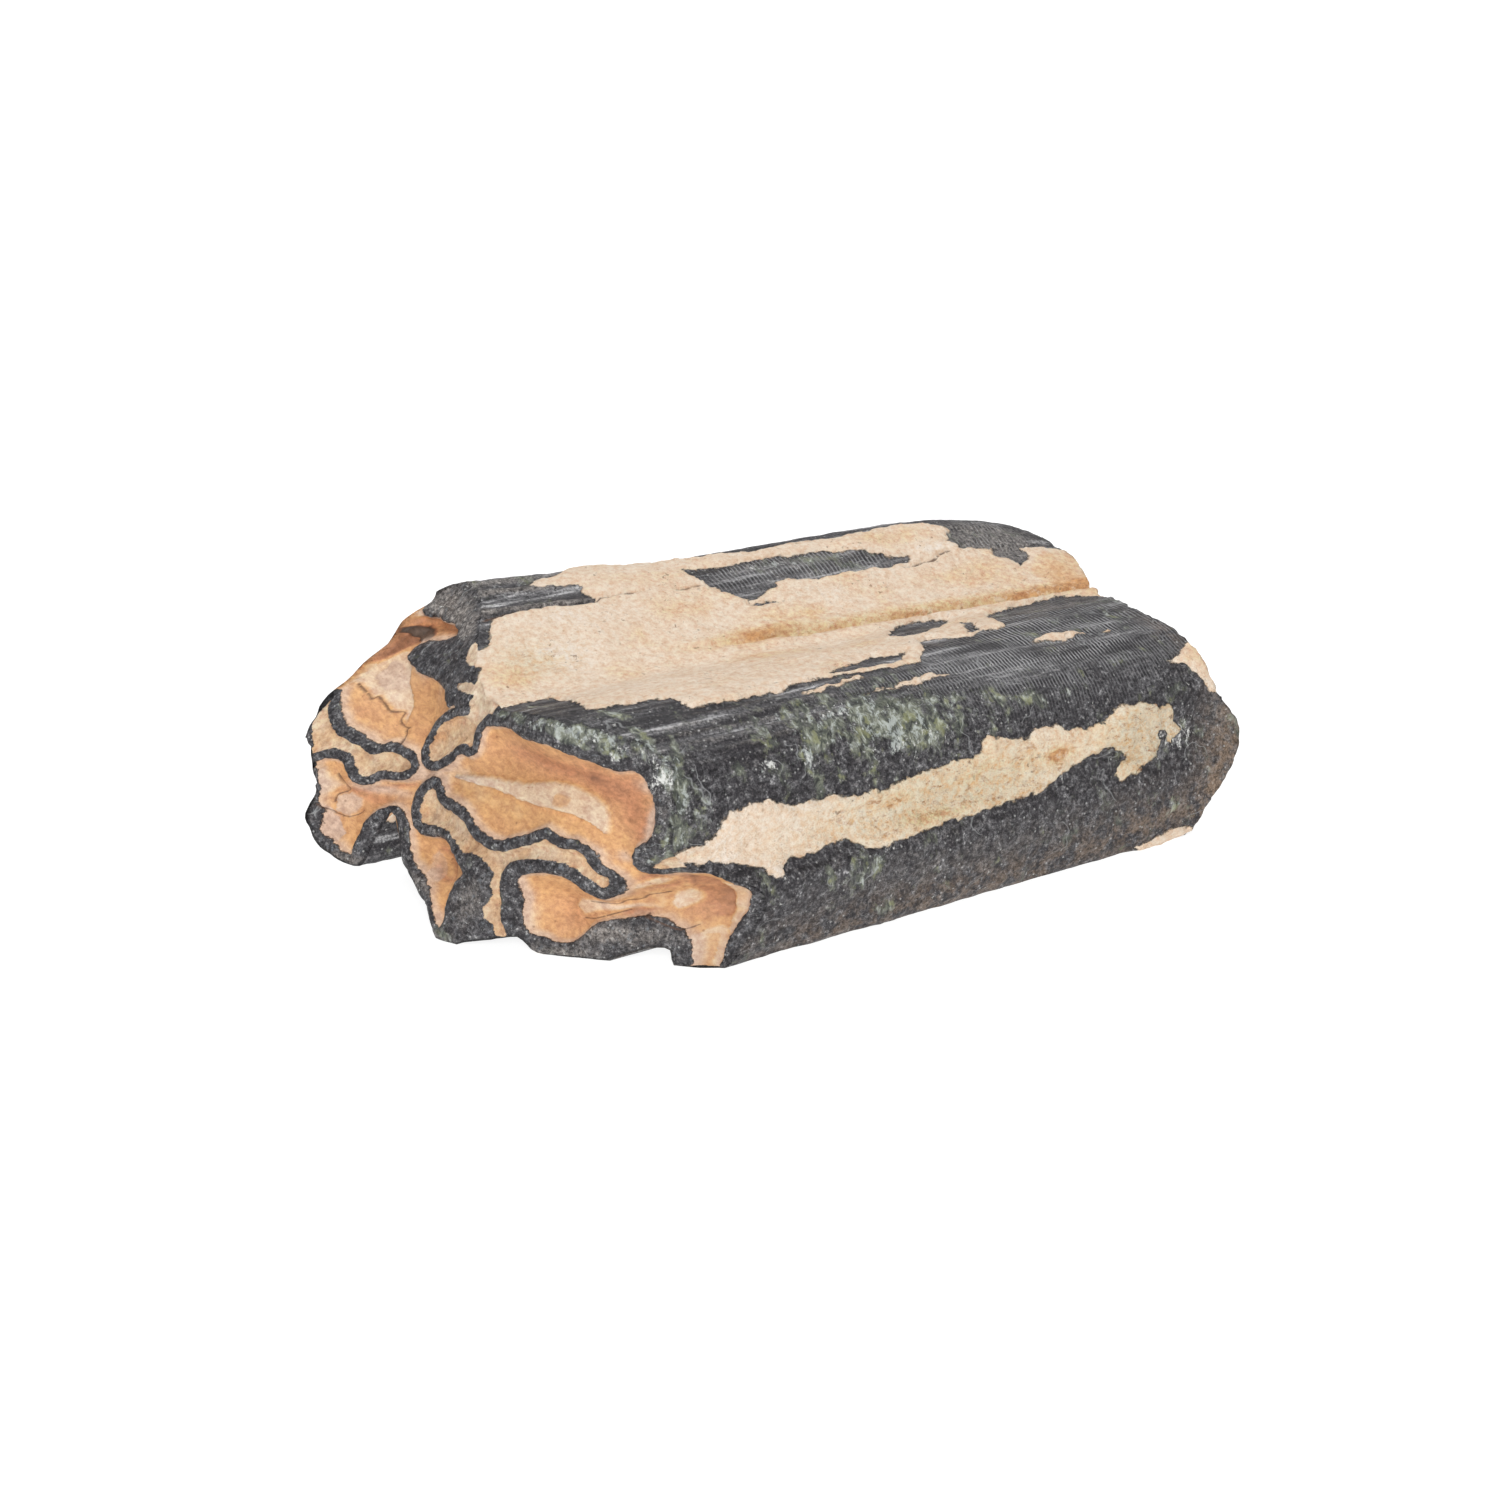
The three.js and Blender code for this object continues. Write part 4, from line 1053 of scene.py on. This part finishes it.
def enamel_look(w, growth):
    """Near-black mineralised enamel: streaked along the crown, bloomed grey-green and white."""
    streak = w.noise(0.9, 5.0, 0.66, (0.06, 1.0, 1.0))
    plain = w.add(w.times(w.noise(0.5, 6.0, 0.76, shift=14.0), 0.86), 0.06)
    colour = w.ramp(
        w.number(w.field("ribbed"), plain, streak),
        (0.30, 26, 24, 27), (0.46, 44, 42, 45), (0.57, 80, 79, 81), (0.68, 168, 167, 168),
    )
    # Ash: grey and rough.
    speckle = w.noise(0.35, 6.0, 0.78, shift=17.0)
    ashen = w.ramp(speckle, (0.34, 62, 59, 58), (0.50, 110, 105, 102), (0.64, 168, 162, 156))
    ash = w.add(w.field("ash"), w.drift(1.4, 1.1, 5.0, 0.7, shift=6.0))
    colour = w.blend(w.step(ash, 0.1, 0.9, 0.0, 0.85), colour, ashen)
    film = w.times(w.field("film"), w.step(w.noise(1.2, 5.0, 0.7, shift=4.0), 0.38, 0.60))
    colour = w.coat(colour, film, 0.75, (112, 95, 80))
    grain = w.noise(0.22, 4.0, 0.8, shift=11.0)
    colour = w.overlay(colour, 0.9, grain, 0.28, 0.68)
    dusty = w.step(w.noise(1.8, 5.0, 0.7, shift=37.0), 0.36, 0.62, 0.25, 0.75)
    colour = w.coat(colour, w.step(grain, 0.55, 0.68), dusty, (132, 128, 126))
    colour = w.coat(colour, w.field("lines"), 0.35, (30, 29, 32))
    colour = w.coat(colour, growth, 0.95, (176, 176, 178))
    # Grey-green bloom: feathery strands drawn round the crown, thickening into pale clots.
    clots = w.noise(1.6, 7.0, 0.66, (1.2, 0.8, 0.8), 0.3, 8.0)
    bloom = w.step(w.add(clots, w.times(w.field("bloom"), 0.17)), 0.56, 0.70)
    green = w.ramp(
        w.noise(0.7, 6.0, 0.66, (1.3, 0.8, 0.8), 0.7, 2.0),
        (0.36, 44, 46, 43), (0.47, 84, 88, 80), (0.55, 120, 123, 108), (0.66, 184, 190, 184),
    )
    colour = w.blend(w.times(bloom, 0.9), colour, green)
    olive = w.times(bloom, w.step(w.noise(1.0, 4.0, 0.6, shift=26.0), 0.54, 0.64))
    colour = w.coat(colour, olive, 0.5, (146, 148, 104))
    thick = w.times(w.add(w.field("bloom"), w.field("frost")), 0.11)
    clot = w.step(w.add(w.noise(0.9, 7.0, 0.72, (1.3, 0.8, 0.8), 0.4, 5.0), thick), 0.66, 0.74)
    colour = w.coat(colour, clot, 0.75, (176, 182, 178))
    dust = w.add(w.noise(0.45, 6.0, 0.76, (1.3, 0.8, 0.8), 0.2, 12.0), w.times(w.field("frost"), 0.22))
    colour = w.coat(colour, w.step(dust, 0.63, 0.73), 0.9, (214, 214, 210))
    # Hair-thin pale scratches and tiny pale specks.
    hair = w.math("ABSOLUTE", w.add(w.noise(5.0, 3.0, 0.5, (0.8, 1.0, 1.0), 0.3), -0.5))
    hair = w.times(w.step(hair, 0.0, 0.006, 1.0, 0.0), w.step(w.noise(3.0, 1.0), 0.52, 0.62))
    colour = w.coat(colour, hair, 0.4, (172, 174, 174))
    colour = w.coat(colour, w.step(w.cells(0.6), 0.05, 0.17, 1.0, 0.0), 0.55, (190, 190, 188))
    # On the chewing face and the break, the enamel gets bluish white flecks: painted glints of highlight.
    flecks = w.step(w.noise(0.5, 4.0, 0.72, shift=21.0), 0.56, 0.74)
    painted_glints = w.times(flecks, w.math("SUBTRACT", 1.0, w.field("side")))
    return w.coat(colour, painted_glints, 0.6, (128, 134, 140))


def dentine_look(w):
    """Waxy orange dentine: cream where it is secondary or chipped, red-brown where stained."""
    tone = w.add(w.field("tone"), w.drift(0.8, 2.2, 6.0, 0.6, shift=3.0))
    colour = w.ramp(
        w.add(w.times(tone, 0.3333), 0.5),
        (0.0, 78, 62, 52), (0.18, 134, 92, 68), (0.34, 178, 124, 90), (0.46, 196, 146, 104),
        (0.55, 202, 154, 106), (0.68, 208, 170, 130), (0.82, 213, 187, 157), (0.95, 224, 207, 188),
    )
    dull = w.add(w.field("blush"), w.drift(0.8, 1.2, 5.0, 0.65, shift=13.0))
    colour = w.coat(colour, w.step(dull, 0.05, 1.1), 0.85, (194, 168, 150))
    fibres = w.noise(0.35, 6.0, 0.74, (1.0, 0.5, 1.0), 0.3, 12.0)
    colour = w.overlay(colour, 0.36, fibres, 0.25, 0.75)
    rust = w.step(w.noise(0.8, 6.0, 0.72, shift=19.0), 0.62, 0.72)
    colour = w.coat(colour, rust, 0.6, (150, 98, 64))
    colour = w.coat(colour, w.step(w.cells(1.2), 0.03, 0.10, 1.0, 0.0), 0.55, (112, 74, 52))
    return w.coat(colour, w.field("film"), 0.3, (160, 122, 92))


def cement_look(w, chalk):
    """Cream cement: smooth or crumbly, pitted, with orange and brown stains."""
    stain = w.add(w.field("stain"), w.drift(2.4, 3.0, 7.0, 0.66, (0.8, 1.0, 1.0), 0.3, 6.0))
    colour = w.ramp(
        w.add(w.times(stain, 0.3333), 0.4),
        (0.0, 236, 222, 204), (0.26, 229, 207, 184), (0.42, 227, 201, 176), (0.60, 221, 183, 148),
        (0.82, 202, 146, 100),
    )
    # Painted light: a bright warm cream laid over the crumbly cement, most of all the hind strip, to lift
    # it out of the shade it lies in; less where it is stained.
    soft = w.step(w.field("crumbs"), 0.0, 0.6)
    painted_light = w.step(stain, 0.4, 1.3, 0.62, 0.1)
    colour = w.coat(colour, soft, painted_light, (255, 223, 174))
    # The cement in the folds of the face is darkened in patches: painted shade for the folds, which lie
    # deep in the face.
    fold_shade = w.step(w.noise(0.6, 5.0, 0.7, shift=41.0), 0.32, 0.66)
    colour = w.coat(colour, fold_shade, w.number(w.field("side"), 0.5, 0.0), (160, 124, 98))
    mottle = w.noise(0.4, 6.0, 0.76, shift=9.0)
    colour = w.overlay(colour, w.number(soft, 0.36, 0.6), mottle, 0.24, 0.66)
    # Brown lines between pale crumbs, lengthwise: painted shade of crevices that the relief doesn't carve.
    crevice_shade = w.step(w.noise(0.45, 6.0, 0.8, (0.45, 1.0, 1.0), 0.0, 27.0), 0.37, 0.47, 1.0, 0.0)
    colour = w.coat(colour, crevice_shade, w.number(soft, 0.10, 0.85), (184, 120, 68))
    # Painted shade and highlight that follow the chalky relief: darker where it is low, a lighter cream on
    # the raised crumbs.
    relief_shade = w.step(chalk, 0.30, 0.46, 1.0, 0.0)
    colour = w.coat(colour, relief_shade, w.number(soft, 0.3, 0.35), (196, 150, 108))
    colour = w.coat(colour, w.step(chalk, 0.50, 0.62), w.times(soft, 0.85), (252, 238, 212))
    # Small dark flecks all over, and pits gathered in patches.
    flecks = w.step(w.noise(0.28, 3.0, 0.6, shift=33.0), 0.62, 0.72)
    colour = w.coat(colour, flecks, 0.45, (176, 138, 106))
    pits = w.step(w.noise(0.42, 3.0, 0.6, shift=15.0), 0.62, 0.69)
    pits = w.times(pits, w.step(w.noise(3.0, 3.0, 0.6, shift=1.5), 0.48, 0.60))
    return w.coat(colour, pits, 0.65, (136, 102, 76))


def growth_lines(w):
    """Fine growth lines across the crown, 0 to 1; they are wider apart on the cheek side."""

    def bands(fineness):
        wave = w.node("TexWave", {
            "Vector": w.mm, "Scale": fineness, "Distortion": 1.8, "Detail": 2.0, "Detail Scale": 0.35,
        }, bands_direction="X")
        return w.step(wave.outputs["Fac"], 0.5, 1.0)

    place = w.node("SeparateXYZ", {"Vector": w.mm})
    far = w.step(place.outputs["Y"], -9.5, -6.5)
    worn = w.step(w.noise(1.0, 4.0, 0.6, (0.3, 1.0, 1.0), 0.0, 23.0), 0.34, 0.6, 0.15, 1.0)
    sharp = w.number(far, bands(1.18), bands(1.0))
    return w.times(w.times(sharp, worn), w.math("MINIMUM", w.field("lines"), 0.9))


def fossil_material():
    """Dentine, cement and enamel by the fields of each vertex, with frayed edges."""
    material = bpy.data.materials.new("fossil")
    w = Weaver(material)
    fray = w.drift(1.9, 0.5, 6.0, 0.74, (0.8, 1.0, 1.0), shift=1.0)
    hard = w.step(w.add(w.field("hard"), fray), -0.14, 0.14)
    pale = w.step(w.add(w.field("pale"), fray), -0.3, 0.3)
    chalk = w.noise(0.8, 7.0, 0.74, (0.8, 1.0, 1.0), shift=3.5)
    growth = growth_lines(w)
    soft = w.blend(pale, dentine_look(w), cement_look(w, chalk))
    colour = w.blend(hard, soft, enamel_look(w, growth))
    # Dark brown along the cracks: painted shade inside cracks too fine for the mesh to carve in full.
    crack = w.step(w.add(w.field("crack"), w.times(fray, 0.08)), 0.04, 0.13, 1.0, 0.0)
    colour = w.coat(colour, crack, 0.8, (84, 60, 46))

    rough_enamel = w.step(w.noise(0.8, 3.0, 0.6, shift=7.0), 0.3, 0.7, 0.40, 0.62)
    rough_soft = w.number(pale, w.step(w.noise(1.2, 3.0), 0.3, 0.7, 0.40, 0.56), 0.9)

    # Relief too fine for the mesh, in millimetres.
    scratch = w.times(w.noise(0.6, 5.0, 0.62, (0.06, 1.0, 1.0), shift=2.5), 0.12)
    grit = w.times(w.noise(0.2, 4.0, 0.7), w.step(w.field("ash"), 0.0, 1.0, 0.05, 0.16))
    enamel_bump = w.add(w.add(w.times(growth, 0.035), scratch), grit)
    wax = w.times(w.noise(0.6, 6.0, 0.68, shift=5.5), 0.10)
    crumble = w.times(chalk, w.step(w.field("crumbs"), 0.0, 0.8, 0.34, 0.9))
    bump_height = w.number(hard, w.number(pale, wax, crumble), enamel_bump)
    ledge = w.times(hard, w.number(w.field("side"), 0.10, -0.14))
    bump = w.node("Bump", {"Strength": 1.0, "Distance": MM, "Height": w.add(bump_height, ledge)})

    shader = w.node("BsdfPrincipled", {
        "Base Color": colour,
        "Roughness": w.number(hard, rough_soft, rough_enamel),
        "Normal": bump.outputs["Normal"],
        "Specular IOR Level": 0.3,
    })
    w.node("OutputMaterial", {"Surface": shader.outputs["BSDF"]})
    return material


def floor_material():
    """Paper that glows, so that it comes out nearly white."""
    material = bpy.data.materials.new("floor")
    material.use_nodes = True
    shader = material.node_tree.nodes["Principled BSDF"]
    shader.inputs["Base Color"].default_value = (0.3, 0.3, 0.3, 1.0)
    shader.inputs["Roughness"].default_value = 0.9
    shader.inputs["Emission Color"].default_value = (1.0, 1.0, 1.0, 1.0)
    shader.inputs["Emission Strength"].default_value = 0.84
    return material


# ---------------------------------------------------------------- studio
def studio():
    """A pale floor, a dim white sky and two lights."""
    scene = bpy.context.scene
    scene.view_settings.view_transform = "Standard"
    mesh = bpy.data.meshes.new("floor")
    corners = [(-1, -1), (1, -1), (1, 1), (-1, 1)]
    mesh.from_pydata([(x * FLOOR_REACH, y * FLOOR_REACH, 0.0) for x, y in corners], [], [(0, 1, 2, 3)])
    mesh.materials.append(floor_material())
    add_object("floor", mesh)

    world = bpy.data.worlds.new("studio")
    world.use_nodes = True
    background = world.node_tree.nodes["Background"]
    background.inputs["Color"].default_value = (1.0, 1.0, 1.0, 1.0)
    background.inputs["Strength"].default_value = SKY_LIGHT
    scene.world = world

    for light in LIGHTS:
        soft_box(*light)


def soft_box(name, place, size, watts):
    """A square light that faces the tooth."""
    light = bpy.data.lights.new(name, "AREA")
    light.size = size
    light.energy = watts
    lamp = add_object(name, light)
    lamp.location = place
    lamp.rotation_euler = Vector(place).to_track_quat("Z", "Y").to_euler()


def photo_camera():
    """The photographer's camera."""
    data = bpy.data.cameras.new("camera")
    data.sensor_width = SENSOR_WIDTH
    data.lens = SENSOR_WIDTH * FOCAL_PIXELS / FRAME_PIXELS
    data.clip_start = 0.01
    camera = add_object("camera", data)
    camera.location = ((CAMERA_PLACE - SEAT) * FIT * MM).tolist()
    back = Vector((
        math.sin(AZIMUTH) * math.cos(ELEVATION),
        -math.cos(AZIMUTH) * math.cos(ELEVATION),
        math.sin(ELEVATION),
    ))
    camera.rotation_euler = back.to_track_quat("Z", "Y").to_euler()
    bpy.context.scene.camera = camera


photo_camera()
studio()
tooth = build_tooth()
tooth.data.materials.append(fossil_material())
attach(tooth, "root")
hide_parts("tooth")
